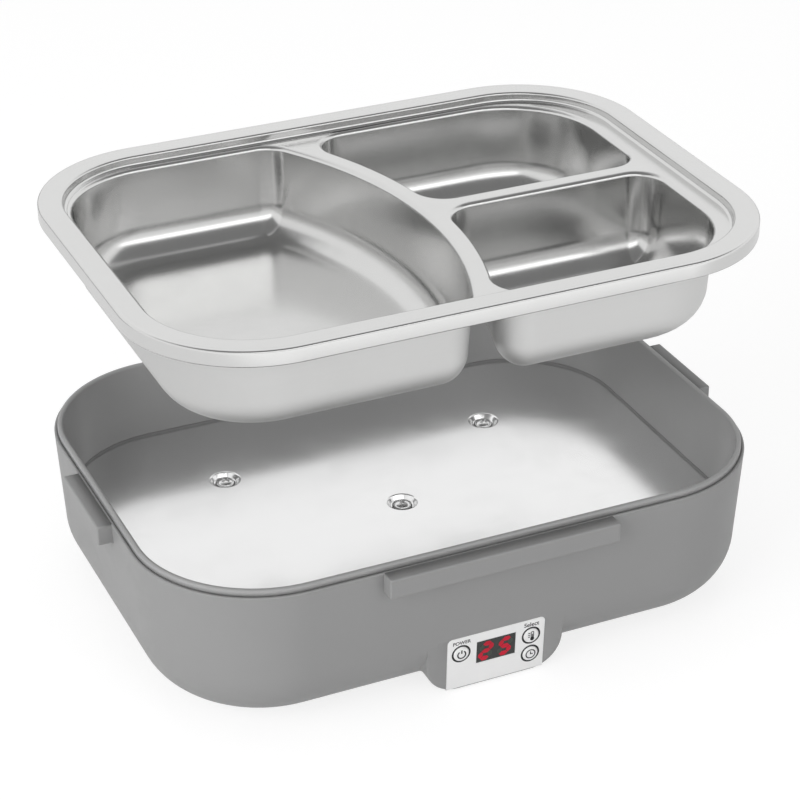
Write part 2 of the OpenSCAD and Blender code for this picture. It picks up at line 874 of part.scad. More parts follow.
function arc_points(c, r, a0, a1, n) = [for (k = [0 : n]) arc_point(c, r, a0 + (a1 - a0) * k / n)];

// The same arc without its two end points
function arc_inside(c, r, a0, a1, n) =
    [for (k = [1 : n - 1]) arc_point(c, r, a0 + (a1 - a0) * k / n)];

// Outline of the large compartment, drawn in by t
function large_outline(t) =
    let (y = bowl_side - t, r = bowl_r - t, s = max(corner_r - t, least_r), big = arc_r - t,
        x = bowl_left + t, low = s - y - arc_y, high = y - s - arc_y,
        lx = arc_c + sqrt(pow(big - s, 2) - pow(low, 2)),
        hx = arc_c + sqrt(pow(big - s, 2) - pow(high, 2)),
        la = atan2(low, lx - arc_c), ha = atan2(high, hx - arc_c))
    concat(arc_points([x + r, r - y], r, 180, 270, corner_steps),
        arc_points([lx, s - y], s, -90, la, corner_steps),
        arc_inside([arc_c, arc_y], big, la, ha, arc_steps),
        arc_points([hx, y - s], s, ha, 90, corner_steps),
        arc_points([x + r, y - r], r, 90, 180, corner_steps));

// Outline of a small compartment, drawn in by t; side is 1 for the back one, -1 for the front
function small_outline(side, t) =
    let (near = web_y / 2 + t, far = bowl_side - t, x = bowl_right - t,
        r = bowl_r - t, q = max(inner_r - t, least_r), s = max(corner_r - t, least_r),
        big = arc_r + web_x + t, crown = side * arc_y,
        nx = arc_c + sqrt(pow(big + s, 2) - pow(near + s - crown, 2)),
        fx = arc_c + sqrt(pow(big + s, 2) - pow(far - s - crown, 2)),
        na = atan2(near + s - crown, nx - arc_c), fa = atan2(far - s - crown, fx - arc_c),
        half = concat(arc_points([nx, near + s], s, 180 + na, 270, corner_steps),
            arc_points([x - q, near + q], q, 270, 360, corner_steps),
            arc_points([x - r, far - r], r, 0, 90, corner_steps),
            arc_points([fx, far - s], s, 90, 180 + fa, corner_steps),
            arc_inside([arc_c, crown], big, fa, na, arc_steps)))
    side > 0 ? half : [for (k = [len(half) - 1 : -1 : 0]) [half[k][0], -half[k][1]]];

function outline(index, t) = index == 0 ? large_outline(t) : small_outline(index == 1 ? 1 : -1, t);

// Heights below the web and draw-ins, down a wall and round its fillet
function bowl_levels(rise, grow) =
    let (r = tray_fillet + grow, depth = bowl_depth - tray_t + grow, bend = depth - r,
        draw = bend * tan(tray_draft) - grow)
    concat([[rise, -grow]], [for (k = [0 : fillet_steps]) let (a = 90 * k / fillet_steps)
        [-bend - r * sin(a), draw + r * (1 - cos(a))]]);

module bowl(index, rise, grow) {
    levels = bowl_levels(rise, grow);
    rings = [for (v = levels) [for (p = outline(index, v[1])) [p[0], p[1], web_z + v[0]]]];
    n = len(rings[0]);
    last = (len(rings) - 1) * n;
    sides = [for (i = [0 : len(rings) - 2], k = [0 : n - 1]) let (m = (k + 1) % n)
        each [[i * n + k, i * n + m, (i + 1) * n + m], [i * n + k, (i + 1) * n + m, (i + 1) * n + k]]];
    polyhedron([for (r = rings) each r],
        concat(sides, [[for (k = [n - 1 : -1 : 0]) k], [for (k = [0 : n - 1]) last + k]]));
}

module food_tray() {
    step = rim_r - flange_w;
    color("#d8d8d8") difference() {
        union() {
            sweep(core_l, core_w) {
                translate([rim_r - tray_t, rim_z - skirt_h]) square([tray_t, skirt_h]);
                translate([step, rim_z - tray_t]) square([flange_w, tray_t]);
                translate([step, web_z - tray_t]) square([tray_t, step_h + tray_t]);
            }
            sweep_solid(core_l, core_w, web_z - tray_t, web_z)
                translate([0, web_z - tray_t]) square([step, tray_t]);
            for (i = [0 : 2]) bowl(i, -tray_t / 2, tray_t);
        }
        for (i = [0 : 2]) bowl(i, cut, 0);
    }
}

outer_shell();
inner_collar();
pan_gasket();
heating_pan();
pan_screws();
screw_washers();
heater_plate();
ptc_heaters();
heater_bracket();
bracket_nuts();
insulation_pad();
heat_shield();
thermal_fuse();
temperature_sensor();
bottom_cover();
cover_screws();
rubber_feet();
power_inlet();
inlet_pins();
power_board();
transformer();
capacitor();
relay();
terminal_block();
control_board();
board_screws();
control_chip();
display_module();
display_window();
faceplate();
tact_switches();
mains_wires();
heater_wires();
panel_cable();
power_button();
temperature_button();
timer_button();
food_tray();
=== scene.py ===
import json
import logging
import math
from collections.abc import Callable, Sequence
from dataclasses import dataclass
from enum import Enum

import bmesh
import bpy
from bpy.types import Material, Mesh, Node, NodeSocket, NodeTree, Object, World
from mathutils import Matrix, Vector


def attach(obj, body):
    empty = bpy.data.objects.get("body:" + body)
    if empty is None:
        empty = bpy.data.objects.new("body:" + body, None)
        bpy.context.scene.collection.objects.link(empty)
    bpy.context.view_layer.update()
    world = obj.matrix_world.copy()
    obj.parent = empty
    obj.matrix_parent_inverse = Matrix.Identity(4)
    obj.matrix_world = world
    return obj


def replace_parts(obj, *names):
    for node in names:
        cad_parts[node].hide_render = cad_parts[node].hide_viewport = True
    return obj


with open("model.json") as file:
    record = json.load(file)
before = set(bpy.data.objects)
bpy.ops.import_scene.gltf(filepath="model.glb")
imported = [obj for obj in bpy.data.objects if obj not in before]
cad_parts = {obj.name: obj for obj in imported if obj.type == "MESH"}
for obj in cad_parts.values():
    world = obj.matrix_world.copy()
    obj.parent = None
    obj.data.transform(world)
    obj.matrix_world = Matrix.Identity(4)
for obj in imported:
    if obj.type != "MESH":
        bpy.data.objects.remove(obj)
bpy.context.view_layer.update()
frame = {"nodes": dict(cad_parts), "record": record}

Pair = tuple[float, float]
Triple = tuple[float, float, float]
Row = list[bmesh.types.BMVert]

LOG = logging.getLogger("lunch_box")
MM = 0.001
UP = Vector((0, 0, 1))
WHITE = (1.0, 1.0, 1.0, 1.0)

# Chords in each corner of the shell, the well and the tray, and round a small circle.
SHELL_STEPS, WELL_STEPS, TRAY_STEPS, ROUND_STEPS = 28, 32, 36, 48
# Least bend in degrees of an edge that is softened, and the facets of its rounding.
SOFT_ANGLE, SOFT_SEGMENTS = 35, 3
# Bends in degrees that stay sharp on the screws and on the buttons.
SCREW_SHARP, BUTTON_SHARP = 38, 40
# How far print stands on the faceplate and on a button.
PLATE_PRINT, BUTTON_PRINT = 0.015, 0.012


class Side(Enum):
    """The two long sides of the base that carry a pad."""

    FRONT = -1
    REAR = 1


class Symbol(Enum):
    """What is printed on a button."""

    POWER = "power"
    THERMOMETER = "thermometer"
    CLOCK = "clock"


# ---- plane geometry


def arc(centre: Pair, radius: float, start: float, end: float, steps: int) -> list[Pair]:
    """Points along a circular arc.

    Args:
        centre: Centre of the arc.
        radius: Its radius.
        start: First angle in degrees.
        end: Last angle in degrees.
        steps: Number of chords.

    Returns:
        steps + 1 points, both ends included.
    """
    angles = [math.radians(start + (end - start) * k / steps) for k in range(steps + 1)]
    return [(centre[0] + radius * math.cos(a), centre[1] + radius * math.sin(a)) for a in angles]


def circle(centre: Pair, radius: float, steps: int = ROUND_STEPS) -> list[Pair]:
    """Points round a full circle, the first one not repeated."""
    return arc(centre, radius, 0, 360, steps)[:-1]


def bearing(x: float, y: float) -> float:
    """Angle of a direction in degrees."""
    return math.degrees(math.atan2(y, x))


def lifted(outline: Sequence[Pair], height: float) -> list[Vector]:
    """An outline laid level at a height."""
    return [Vector((x, y, height)) for x, y in outline]


def rounded_ring(
    core: Pair, radius: float, height: float, steps: int, stations: Sequence[float] = ()
) -> list[Vector]:
    """One level of a rounded rectangle, counter-clockwise from its right side.

    Args:
        core: Length and width of the rectangle through the corner centres.
        radius: Distance of the ring from that rectangle.
        height: Level of the ring.
        steps: Chords in each corner.
        stations: Places along the long sides that also get a point, from right to left.

    Returns:
        The ring's points.
    """
    half_l, half_w = core[0] / 2, core[1] / 2
    ring: list[Pair] = []
    for quarter in range(4):
        sx = 1 if quarter in (0, 3) else -1
        sy = 1 if quarter in (0, 1) else -1
        ring += arc((sx * half_l, sy * half_w), radius, 90 * quarter, 90 * quarter + 90, steps)
        if quarter % 2 == 0:
            ring += [(sx * x, sy * (half_w + radius)) for x in stations]
    return lifted(ring, height)


def ribbon(points: Sequence[Pair], width: float, closed: bool = False) -> list[list[Pair]]:
    """Flat quads along a line.

    Args:
        points: The line's points.
        width: Width of the stroke.
        closed: True when the line runs back to its start.

    Returns:
        One four-cornered loop for each stretch.
    """
    count = len(points)
    sides: list[tuple[Pair, Pair]] = []
    for k, (x, y) in enumerate(points):
        before = points[(k - 1) % count] if closed or k else points[k]
        after = points[(k + 1) % count] if closed or k < count - 1 else points[k]
        dx, dy = after[0] - before[0], after[1] - before[1]
        length = math.hypot(dx, dy)
        nx, ny = -dy / length * width / 2, dx / length * width / 2
        sides.append(((x + nx, y + ny), (x - nx, y - ny)))
    pairs = list(zip(sides, sides[1:] + sides[:1]))
    return [[a[0], a[1], b[1], b[0]] for a, b in (pairs if closed else pairs[:-1])]


# ---- mesh drafts


class Draft:
    """Collects rings of points in millimetres and turns them into one piece."""

    def __init__(self) -> None:
        """Starts an empty mesh."""
        self.mesh = bmesh.new()

    def ring(self, points: Sequence[Vector]) -> Row:
        """Adds a row of vertices at places in millimetres."""
        return [self.mesh.verts.new(Vector(p) * MM) for p in points]

    def bridge(
        self, low: Row, high: Row, closed: bool = True, keep: Callable[[int], bool] | None = None
    ) -> None:
        """Joins two rows with quads.

        Args:
            low: First row.
            high: Second row, as long as the first.
            closed: True when the rows run round to their start.
            keep: Says for each quad's index whether it is made.
        """
        count = len(low)
        for k in range(count if closed else count - 1):
            m = (k + 1) % count
            if keep is None or keep(k):
                self.mesh.faces.new((low[k], low[m], high[m], high[k]))

    def loft(self, rings: Sequence[Sequence[Vector]], closed: bool = True) -> list[Row]:
        """Adds rows and joins each to the next.

        Args:
            rings: Rows of places.
            closed: True when each row runs round to its start.

        Returns:
            The rows of vertices.
        """
        rows = [self.ring(r) for r in rings]
        for low, high in zip(rows, rows[1:]):
            self.bridge(low, high, closed)
        return rows

    def cap(self, row: Row) -> None:
        """Closes a row with one face."""
        self.mesh.faces.new(row)

    def solid(self, rings: Sequence[Sequence[Vector]]) -> None:
        """Adds a loft and caps both of its ends.

        Args:
            rings: Rows of places.
        """
        rows = self.loft(rings)
        self.cap(rows[0])
        self.cap(rows[-1][::-1])

    def web(self, outer: Row, holes: Sequence[Row], normal: Vector) -> None:
        """Fills the flat space between an outline and its holes.

        Args:
            outer: The outline's vertices.
            holes: The vertices round each hole.
            normal: The way that the new faces look.
        """
        edges = []
        for row in [outer, *holes]:
            for pair in zip(row, row[1:] + row[:1]):
                edges.append(self.mesh.edges.get(pair) or self.mesh.edges.new(pair))
        made = bmesh.ops.triangle_fill(
            self.mesh, edges=edges, use_beauty=True, use_dissolve=False, normal=normal
        )
        self.face_along([g for g in made["geom"] if isinstance(g, bmesh.types.BMFace)], normal)

    def face_along(self, faces: Sequence[bmesh.types.BMFace], normal: Vector) -> None:
        """Turns flat faces so that they look one way.

        Args:
            faces: The faces.
            normal: The way that they are to look.
        """
        for face in faces:
            face.normal_update()
            if face.normal.dot(normal) < 0:
                face.normal_flip()

    def turn_outward(self) -> None:
        """Points every face of a closed mesh outwards."""
        bmesh.ops.recalc_face_normals(self.mesh, faces=self.mesh.faces)

    def data(self, name: str) -> Mesh:
        """Turns the draft into mesh data and lets go of it.

        Args:
            name: Name of the mesh.

        Returns:
            The mesh data.
        """
        data = bpy.data.meshes.new(name)
        self.mesh.to_mesh(data)
        self.mesh.free()
        return data

    def piece(
        self, name: str, body: str, slot: str, *materials: Material, smooth: bool = True
    ) -> Object:
        """Makes the piece and lets it ride on a body.

        Args:
            name: Name of the piece.
            body: Body that it moves with.
            slot: Record slot of its finish; not used.
            materials: Its materials, in slot order.
            smooth: Whether its faces are shaded smooth.

        Returns:
            The new object.
        """
        for face in self.mesh.faces:
            face.smooth = smooth
        data = self.data(name)
        for material in materials:
            data.materials.append(material)
        return settle(data, body)


def linked(name: str, data: bpy.types.ID) -> Object:
    """Makes an object and links it into the scene.

    Args:
        name: Name of the object.
        data: Its mesh, light, camera or curve.

    Returns:
        The new object.
    """
    made = bpy.data.objects.new(name, data)
    bpy.context.scene.collection.objects.link(made)
    return made


def settle(data: Mesh, body: str) -> Object:
    """Makes a piece of mesh data, on a body.

    Args:
        data: The mesh; the piece takes its name.
        body: Body that it moves with.

    Returns:
        The new object.
    """
    piece = linked(data.name, data)
    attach(piece, body)
    LOG.info("made %s on %s", piece.name, body)
    return piece


def thicken(piece: Object, thickness: float) -> None:
    """Gives a sheet its thickness, away from its visible face.

    Args:
        piece: The sheet; its second material, if it has one, goes on the new side.
        thickness: Millimetres of metal.
    """
    solid = piece.modifiers.new("sheet", "SOLIDIFY")
    solid.thickness = thickness * MM
    solid.offset = -1
    solid.use_even_offset = True
    solid.material_offset = len(piece.data.materials) - 1


def soften(piece: Object, width: float) -> None:
    """Rounds a piece's sharp edges.

    Args:
        piece: The piece.
        width: Width of the rounding in millimetres.
    """
    bevel = piece.modifiers.new("soft edges", "BEVEL")
    bevel.width = width * MM
    bevel.limit_method = "ANGLE"
    bevel.angle_limit = math.radians(SOFT_ANGLE)
    bevel.segments = SOFT_SEGMENTS


def even_normals(piece: Object) -> None:
    """Lets the large flat faces set the shading at their edges."""
    piece.modifiers.new("even shading", "WEIGHTED_NORMAL").keep_sharp = True


def copy_of(
    node: str, name: str, body: str, material: Material
) -> Object:
    """A detailed piece that starts from a CAD node's shape and replaces the node.

    Args:
        node: The CAD node.
        name: Name of the new piece.
        body: Body that it moves with.
        material: Its material.

    Returns:
        The new object.
    """
    same_place, same_plane = 1e-6, math.radians(1)
    data = frame["nodes"][node].data.copy()
    data.name = name
    data.materials.clear()
    data.materials.append(material)
    work = bmesh.new()
    work.from_mesh(data)
    bmesh.ops.remove_doubles(work, verts=work.verts, dist=same_place)
    bmesh.ops.dissolve_limit(work, angle_limit=same_plane, verts=work.verts, edges=work.edges)
    work.to_mesh(data)
    work.free()
    data.shade_flat()
    piece = settle(data, body)
    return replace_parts(piece, node)


# ---- shader sketches


class Sketch:
    """Adds nodes to one tree and links them."""

    def __init__(self, tree: NodeTree) -> None:
        """Takes the tree that is drawn in."""
        self.tree = tree

    @classmethod
    def empty(cls, block: Material | World) -> "Sketch":
        """Starts a sketch of a block's cleared node tree.

        Args:
            block: The material or world.

        Returns:
            The sketch.
        """
        block.use_nodes = True
        block.node_tree.nodes.clear()
        return cls(block.node_tree)

    def feed(self, node: Node, **inputs) -> Node:
        """Sets or links a node's inputs.

        Args:
            node: The node.
            inputs: Socket name, with _ for a space, to a value or to an output that feeds it.

        Returns:
            The same node.
        """
        for key, value in inputs.items():
            number = key[1:]
            socket = node.inputs[int(number) if number.isdigit() else key.replace("_", " ")]
            if isinstance(value, NodeSocket):
                self.tree.links.new(value, socket)
            else:
                socket.default_value = value
        return node

    def node(self, kind: str, settings: dict | None = None, **inputs) -> Node:
        """Adds a node.

        Args:
            kind: Blender's name of the node type.
            settings: The node's own settings.
            inputs: What feed() takes.

        Returns:
            The new node.
        """
        made = self.tree.nodes.new(kind)
        for key, value in (settings or {}).items():
            setattr(made, key, value)
        return self.feed(made, **inputs)

    def sum(self, operation: str, first: object, second: object) -> NodeSocket:
        """One step of arithmetic on numbers or outputs."""
        return self.node("ShaderNodeMath", {"operation": operation}, _0=first, _1=second).outputs[0]

    def group(self, tree: NodeTree, **inputs) -> bpy.types.bpy_prop_collection:
        """Adds a group and gives its outputs."""
        return self.node("ShaderNodeGroup", {"node_tree": tree}, **inputs).outputs

    def where(self) -> NodeSocket:
        """The object's own coordinates."""
        return self.node("ShaderNodeTexCoord").outputs["Object"]

    def noise(self, **inputs) -> NodeSocket:
        """The value of a noise texture."""
        return self.node("ShaderNodeTexNoise", **inputs).outputs["Fac"]

    def tint(self, colour: Triple, factor: object) -> NodeSocket:
        """A colour, made lighter or darker by a factor."""
        kind = {"operation": "SCALE"}
        return self.node("ShaderNodeVectorMath", kind, _0=colour, Scale=factor).outputs[0]

    def bump(self, strength: float, depth: float, height: object) -> NodeSocket:
        """A normal bent by bumps of a depth in millimetres."""
        made = self.node("ShaderNodeBump", Strength=strength, Distance=depth * MM, Height=height)
        return made.outputs[0]

    def rays(self) -> tuple[NodeSocket, NodeSocket]:
        """Marks the rays that see the stage.

        Returns:
            1 for camera rays, and 1 for rays that a mirror or glass sends.
        """
        path = self.node("ShaderNodeLightPath").outputs
        sent = self.sum("MAXIMUM", path["Is Glossy Ray"], path["Is Transmission Ray"])
        return path["Is Camera Ray"], sent

    def glow(self, strength: object) -> NodeSocket:
        """White light of a strength."""
        return self.node("ShaderNodeEmission", Color=WHITE, Strength=strength).outputs[0]


class Effects:
    """Node groups that several finishes share."""

    def __init__(self) -> None:
        """Builds each group once."""
        self.grain = self.build_grain()
        self.streaks = self.build_streaks()
        self.marks = self.build_marks()
        self.weave = self.build_weave()

    @staticmethod
    def start(name: str, inputs: dict[str, float], outputs: Sequence[str]) -> tuple:
        """Opens a group with number sockets.

        Args:
            name: Name of the group.
            inputs: Names and default values of its inputs.
            outputs: Names of its outputs.

        Returns:
            The group's sketch, its inputs and its output node.
        """
        kind = "NodeSocketFloat"
        group = bpy.data.node_groups.new(name, "ShaderNodeTree")
        for key, value in inputs.items():
            socket = group.interface.new_socket(name=key, in_out="INPUT", socket_type=kind)
            socket.default_value = value
        for key in outputs:
            group.interface.new_socket(name=key, in_out="OUTPUT", socket_type=kind)
        sketch = Sketch(group)
        return sketch, sketch.node("NodeGroupInput").outputs, sketch.node("NodeGroupOutput")

    def build_grain(self) -> NodeTree:
        """Moulded grain: fine bumps and a slow change of tone.

        Returns:
            The group.
        """
        sizes = {"Scale": 2500, "Contrast": 0.05}
        s, given, out = self.start("Moulded grain", sizes, ("Height", "Tone"))
        where = s.where()
        fine = s.noise(Vector=where, Scale=given["Scale"], Detail=3.0, Roughness=0.6)
        slow = s.noise(Vector=where, Scale=s.sum("MULTIPLY", given["Scale"], 0.015), Detail=2.0)
        swing = s.sum("MULTIPLY", s.sum("SUBTRACT", slow, 0.5), given["Contrast"])
        s.feed(out, Height=fine, Tone=s.sum("ADD", swing, 1.0))
        return s.tree

    def build_streaks(self) -> NodeTree:
        """Rolling streaks of sheet metal, drawn out along X.

        Returns:
            The group.
        """
        sizes = {"Scale": 900, "Stretch": 0.04}
        s, given, out = self.start("Rolled streaks", sizes, ("Height", "Streak"))
        along = s.node("ShaderNodeCombineXYZ", X=given["Stretch"], Y=1.0, Z=1.0).outputs[0]
        kind = {"operation": "MULTIPLY"}
        drawn = s.node("ShaderNodeVectorMath", kind, _0=s.where(), _1=along).outputs[0]
        lines = s.noise(Vector=drawn, Scale=given["Scale"], Detail=4.0, Roughness=0.65)
        broad = s.noise(Vector=drawn, Scale=s.sum("MULTIPLY", given["Scale"], 0.12), Detail=2.0)
        both = s.sum("ADD", s.sum("MULTIPLY", lines, 0.5), s.sum("MULTIPLY", broad, 0.5))
        s.feed(out, Height=lines, Streak=both)
        return s.tree

    def build_marks(self) -> NodeTree:
        """Handling marks: soft smears that dull a surface.

        Returns:
            The group.
        """
        s, given, out = self.start("Handling marks", {"Scale": 30, "Amount": 0.1}, ("Mask",))
        cloud = s.noise(
            Vector=s.where(), Scale=given["Scale"], Detail=5.0, Roughness=0.7, Distortion=0.6
        )
        kind = {"interpolation_type": "SMOOTHSTEP"}
        shaped = s.node("ShaderNodeMapRange", kind, Value=cloud, From_Min=0.42, From_Max=0.68)
        s.feed(out, Mask=s.sum("MULTIPLY", shaped.outputs[0], given["Amount"]))
        return s.tree

    def build_weave(self) -> NodeTree:
        """Crossed threads for woven glass.

        Returns:
            The group.
        """
        s, given, out = self.start("Thread weave", {"Scale": 900}, ("Height",))
        where = s.where()
        warp, weft = (
            s.node(
                "ShaderNodeTexWave",
                {"bands_direction": axis},
                Vector=where,
                Scale=given["Scale"],
                Distortion=1.0,
            ).outputs["Fac"]
            for axis in "XY"
        )
        s.feed(out, Height=s.sum("MAXIMUM", warp, weft))
        return s.tree


def open_material(name: str) -> tuple[Material, Sketch, Node]:
    """Starts a node material.

    Args:
        name: Name of the material.

    Returns:
        The material, a sketch of its tree and its surface shader.
    """
    material = bpy.data.materials.new(name)
    material.use_nodes = True
    tree = material.node_tree
    return material, Sketch(tree), tree.nodes["Principled BSDF"]


@dataclass(frozen=True)
class Plastic:
    """Moulded plastic, rubber, paint or print."""

    name: str
    colour: Triple
    roughness: float = 0.5
    grain: float = 2500  # scale of the moulded grain
    depth: float = 0.02  # of the grain, in millimetres
    contrast: float = 0.06  # swing of the tone over the surface
    marks: float = 0.08  # how much handling dulls it
    coat: float = 0.0  # weight of a clear coat
    specular: float = 0.5  # level of the highlights

    def build(self, effects: Effects) -> Material:
        """Makes the material.

        Args:
            effects: The shared node groups.

        Returns:
            The material.
        """
        material, s, surface = open_material(self.name)
        grain = s.group(effects.grain, Scale=self.grain, Contrast=self.contrast)
        marks = s.group(effects.marks, Scale=35.0, Amount=self.marks)
        s.feed(
            surface,
            Base_Color=s.tint(self.colour, grain["Tone"]),
            Roughness=s.sum("ADD", marks["Mask"], self.roughness),
            Normal=s.bump(strength=0.6, depth=self.depth, height=grain["Height"]),
            Coat_Weight=self.coat,
            Specular_IOR_Level=self.specular,
        )
        return material


@dataclass(frozen=True)
class Metal:
    """Sheet or turned metal."""

    name: str
    colour: Triple
    roughness: float = 0.22
    swing: float = 0.08  # of the roughness along the streaks
    scale: float = 900  # of the streaks
    stretch: float = 0.04  # of the streaks; 1 is none
    depth: float = 0.002  # of the streaks, in millimetres
    marks: float = 0.04  # how much handling dulls it

    def build(self, effects: Effects) -> Material:
        """Makes the material.

        Args:
            effects: The shared node groups.

        Returns:
            The material.
        """
        material, s, surface = open_material(self.name)
        streaks = s.group(effects.streaks, Scale=self.scale, Stretch=self.stretch)
        marks = s.group(effects.marks, Scale=24.0, Amount=self.marks)
        swing = s.sum("MULTIPLY", s.sum("SUBTRACT", streaks["Streak"], 0.5), self.swing)
        tone = s.sum("ADD", s.sum("MULTIPLY", swing, -0.6), 1.0)
        s.feed(
            surface,
            Base_Color=s.tint(self.colour, tone),
            Roughness=s.sum("ADD", s.sum("ADD", swing, self.roughness), marks["Mask"]),
            Normal=s.bump(strength=0.35, depth=self.depth, height=streaks["Height"]),
            Metallic=1.0,
        )
        return material


@dataclass(frozen=True)
class Woven:
    """Woven glass or braided sleeve."""

    name: str
    colour: Triple
    scale: float = 700  # threads per metre, roughly

    def build(self, effects: Effects) -> Material:
        """Makes the material.

        Args:
            effects: The shared node groups.

        Returns:
            The material.
        """
        material, s, surface = open_material(self.name)
        height = s.group(effects.weave, Scale=self.scale)["Height"]
        shade = s.sum("ADD", s.sum("MULTIPLY", height, 0.25), 0.8)
        s.feed(
            surface,
            Base_Color=s.tint(self.colour, shade),
            Normal=s.bump(strength=0.8, depth=0.1, height=height),
            Roughness=0.85,
        )
        return material


@dataclass(frozen=True)
class Glow:
    """A lit or unlit display segment."""

    name: str
    colour: Triple
    strength: float

    def build(self, effects: Effects) -> Material:
        """Makes the material; its brightness swings slightly over the segment.

        Args:
            effects: The shared node groups.

        Returns:
            The material.
        """
        material, s, surface = open_material(self.name)
        tint = s.tint(self.colour, s.group(effects.grain, Scale=9000.0, Contrast=0.5)["Tone"])
        s.feed(
            surface,
            Base_Color=tint,
            Emission_Color=tint,
            Emission_Strength=self.strength,
            Roughness=0.4,
            Specular_IOR_Level=0.2,
        )
        return material


TRAY_STREAKS = dict(swing=0.05, scale=800, stretch=0.05, depth=0.0001)
FINISHES: dict[str, Plastic | Metal | Woven | Glow] = {
    "shell_plastic": Plastic("grey shell plastic", (0.285,) * 3, 0.46, 2600, 0.015, 0.05),
    "collar_plastic": Plastic("grey collar plastic", (0.335,) * 3, 0.33, 2600, 0.012, 0.05),
    "silicone": Plastic("grey silicone", (0.24,) * 3, 0.6, 4000, 0.01),
    "pan_steel": Metal("satin pan steel", (0.88,) * 3, 0.18, 0.05, 700, 0.05, 0.0006),
    "tray_steel": Metal("polished tray steel", (0.69, 0.69, 0.685), 0.19, **TRAY_STREAKS),
    "tray_back": Metal("satin back of the tray steel", (0.67, 0.67, 0.665), 0.52, **TRAY_STREAKS),
    "screw_steel": Metal("bright screw steel", (0.78,) * 3, 0.16, 0.05, 3000, 1.0),
    "sheet_steel": Metal("zinc-coated sheet", (0.55, 0.56, 0.58), 0.38, 0.12, 260, 0.6),
    "aluminium": Metal("milled aluminium", (0.66, 0.67, 0.69), 0.34, 0.12, 1500, 0.05),
    "glass_wool": Woven("glass wool", (0.78, 0.74, 0.64)),
    "fuse_ceramic": Plastic("glazed ceramic", (0.75, 0.74, 0.7), 0.25, 3000, 0.01, 0.04, 0.02, 0.4),
    "black_plastic": Plastic("black plastic", (0.018,) * 3, 0.42, 3000, 0.015, 0.2),
    "foot_rubber": Plastic("foot rubber", (0.03,) * 3, 0.75, 1800, 0.03, 0.2),
    "pin_brass": Metal("plated brass", (0.78, 0.68, 0.42), 0.25, 0.08, 2500, 0.3),
    "circuit_board": Plastic(
        "green solder mask", (0.015, 0.11, 0.035), 0.32, 1200, 0.02, 0.35, 0.05, 0.3
    ),
    "transformer_tape": Plastic(
        "yellow tape", (0.62, 0.42, 0.04), 0.3, 1500, 0.03, 0.15, 0.05, 0.2
    ),
    "capacitor_sleeve": Plastic(
        "blue sleeve", (0.03, 0.055, 0.16), 0.28, 2500, 0.01, 0.1, 0.04, 0.3
    ),
    "terminal_green": Plastic("green terminal", (0.04, 0.22, 0.07), 0.45),
    "window_plastic": Plastic(
        "dark window", (0.02, 0.022, 0.021), 0.12, 3000, 0.001, 0.1, 0.05, 0.1
    ),
    "faceplate_silver": Plastic("silver print", (0.87,) * 3, 0.42, 6000, 0.004, 0.05, 0.05, 0.1),
    "button_silver": Plastic("silver button", (0.86,) * 3, 0.4, 6000, 0.004, 0.05, 0.05, 0.1),
    "mains_sleeve": Plastic("brown insulation", (0.16, 0.07, 0.025), 0.4),
    "heater_sleeve": Woven("red braided sleeve", (0.4, 0.04, 0.025), 1500),
    "cable_sleeve": Plastic("grey insulation", (0.55,) * 3, 0.42),
    # Print, and also the painted shade in the gaps round the buttons.
    "ink": Plastic("dark ink and painted gap shade", (0.03, 0.03, 0.032), 0.6, 6000, 0.002, 0.2, specular=0.15),
    "lit_segment": Glow("lit segment", (0.28, 0.006, 0.018), 0.8),
    "unlit_segment": Glow("unlit segment", (0.05, 0.06, 0.05), 0.1),
}


# ---- sizes


@dataclass(frozen=True)
class BaseSizes:
    """Sizes of the base, in millimetres; heights are above the standing surface."""

    opening: Pair = (240.0, 176.0)  # length and width at the lip
    corner: float = 46.0  # radius of the opening
    lip: float = 64.5
    bead: float = 2.2
    bead_height: float = 2.5  # above the shoulder
    shoulder_width: float = 1.3  # outside the bead
    draft: float = 3.2  # in degrees
    belly: float = 22.0  # radius of the rounded bottom edge
    belly_low: float = 3.0  # height of the underside
    wall: float = 1.8
    collar_wall: float = 1.3
    collar_low: float = 32.6  # height of the collar's lower edge
    cover_inset: float = 4.0  # from the belly's centre line to the cover's edge

    @property
    def core(self) -> Pair:
        """Rectangle through the corner centres."""
        return self.opening[0] - 2 * self.corner, self.opening[1] - 2 * self.corner

    @property
    def slope(self) -> float:
        """Rise of the draft over one millimetre."""
        return math.tan(math.radians(self.draft))

    @property
    def shoulder(self) -> float:
        """Height of the shoulder round the bead."""
        return self.lip - self.bead_height

    @property
    def belly_middle(self) -> float:
        """Height of the belly's centre line."""
        return self.belly_low + self.belly

    @property
    def belly_out(self) -> float:
        """Distance of the belly's centre line from the core."""
        return self.outer(self.belly_middle) - self.belly

    def outer(self, height: float) -> float:
        """Distance of the outer wall from the core at a height."""
        top = self.corner + self.bead + self.shoulder_width
        return top - (self.shoulder - height) * self.slope

    def inner(self, height: float) -> float:
        """Distance of the collar's inner face from the core at a height."""
        return self.corner - (self.lip - height) * self.slope


@dataclass(frozen=True)
class PadFrame:
    """Places on a pad's face: x to the right, v up the face, d out of the wall."""

    base: BaseSizes
    side: Side = Side.FRONT
    centre: float = 12.65  # height of the middle of the face

    def place(self, x: float, v: float, d: float) -> Vector:
        """Turns a place on the pad into one in the part's frame.

        Args:
            x: Place to the right of the middle.
            v: Place up the face from its middle.
            d: Distance out of the face.

        Returns:
            The place.
        """
        tilt = math.radians(self.base.draft)
        reach = self.base.core[1] / 2 + self.base.outer(self.centre)
        y = reach + d * math.cos(tilt) + v * math.sin(tilt)
        z = self.centre - d * math.sin(tilt) + v * math.cos(tilt)
        return Vector((x, self.side.value * y, z))

    def row(self, outline: Sequence[Pair], d: float) -> list[Vector]:
        """Places an outline on the pad, standing out by d."""
        return [self.place(x, v, d) for x, v in outline]

    def outward(self) -> Vector:
        """The direction out of the face."""
        return (self.place(0, 0, 1) - self.place(0, 0, 0)).normalized()


# ---- base


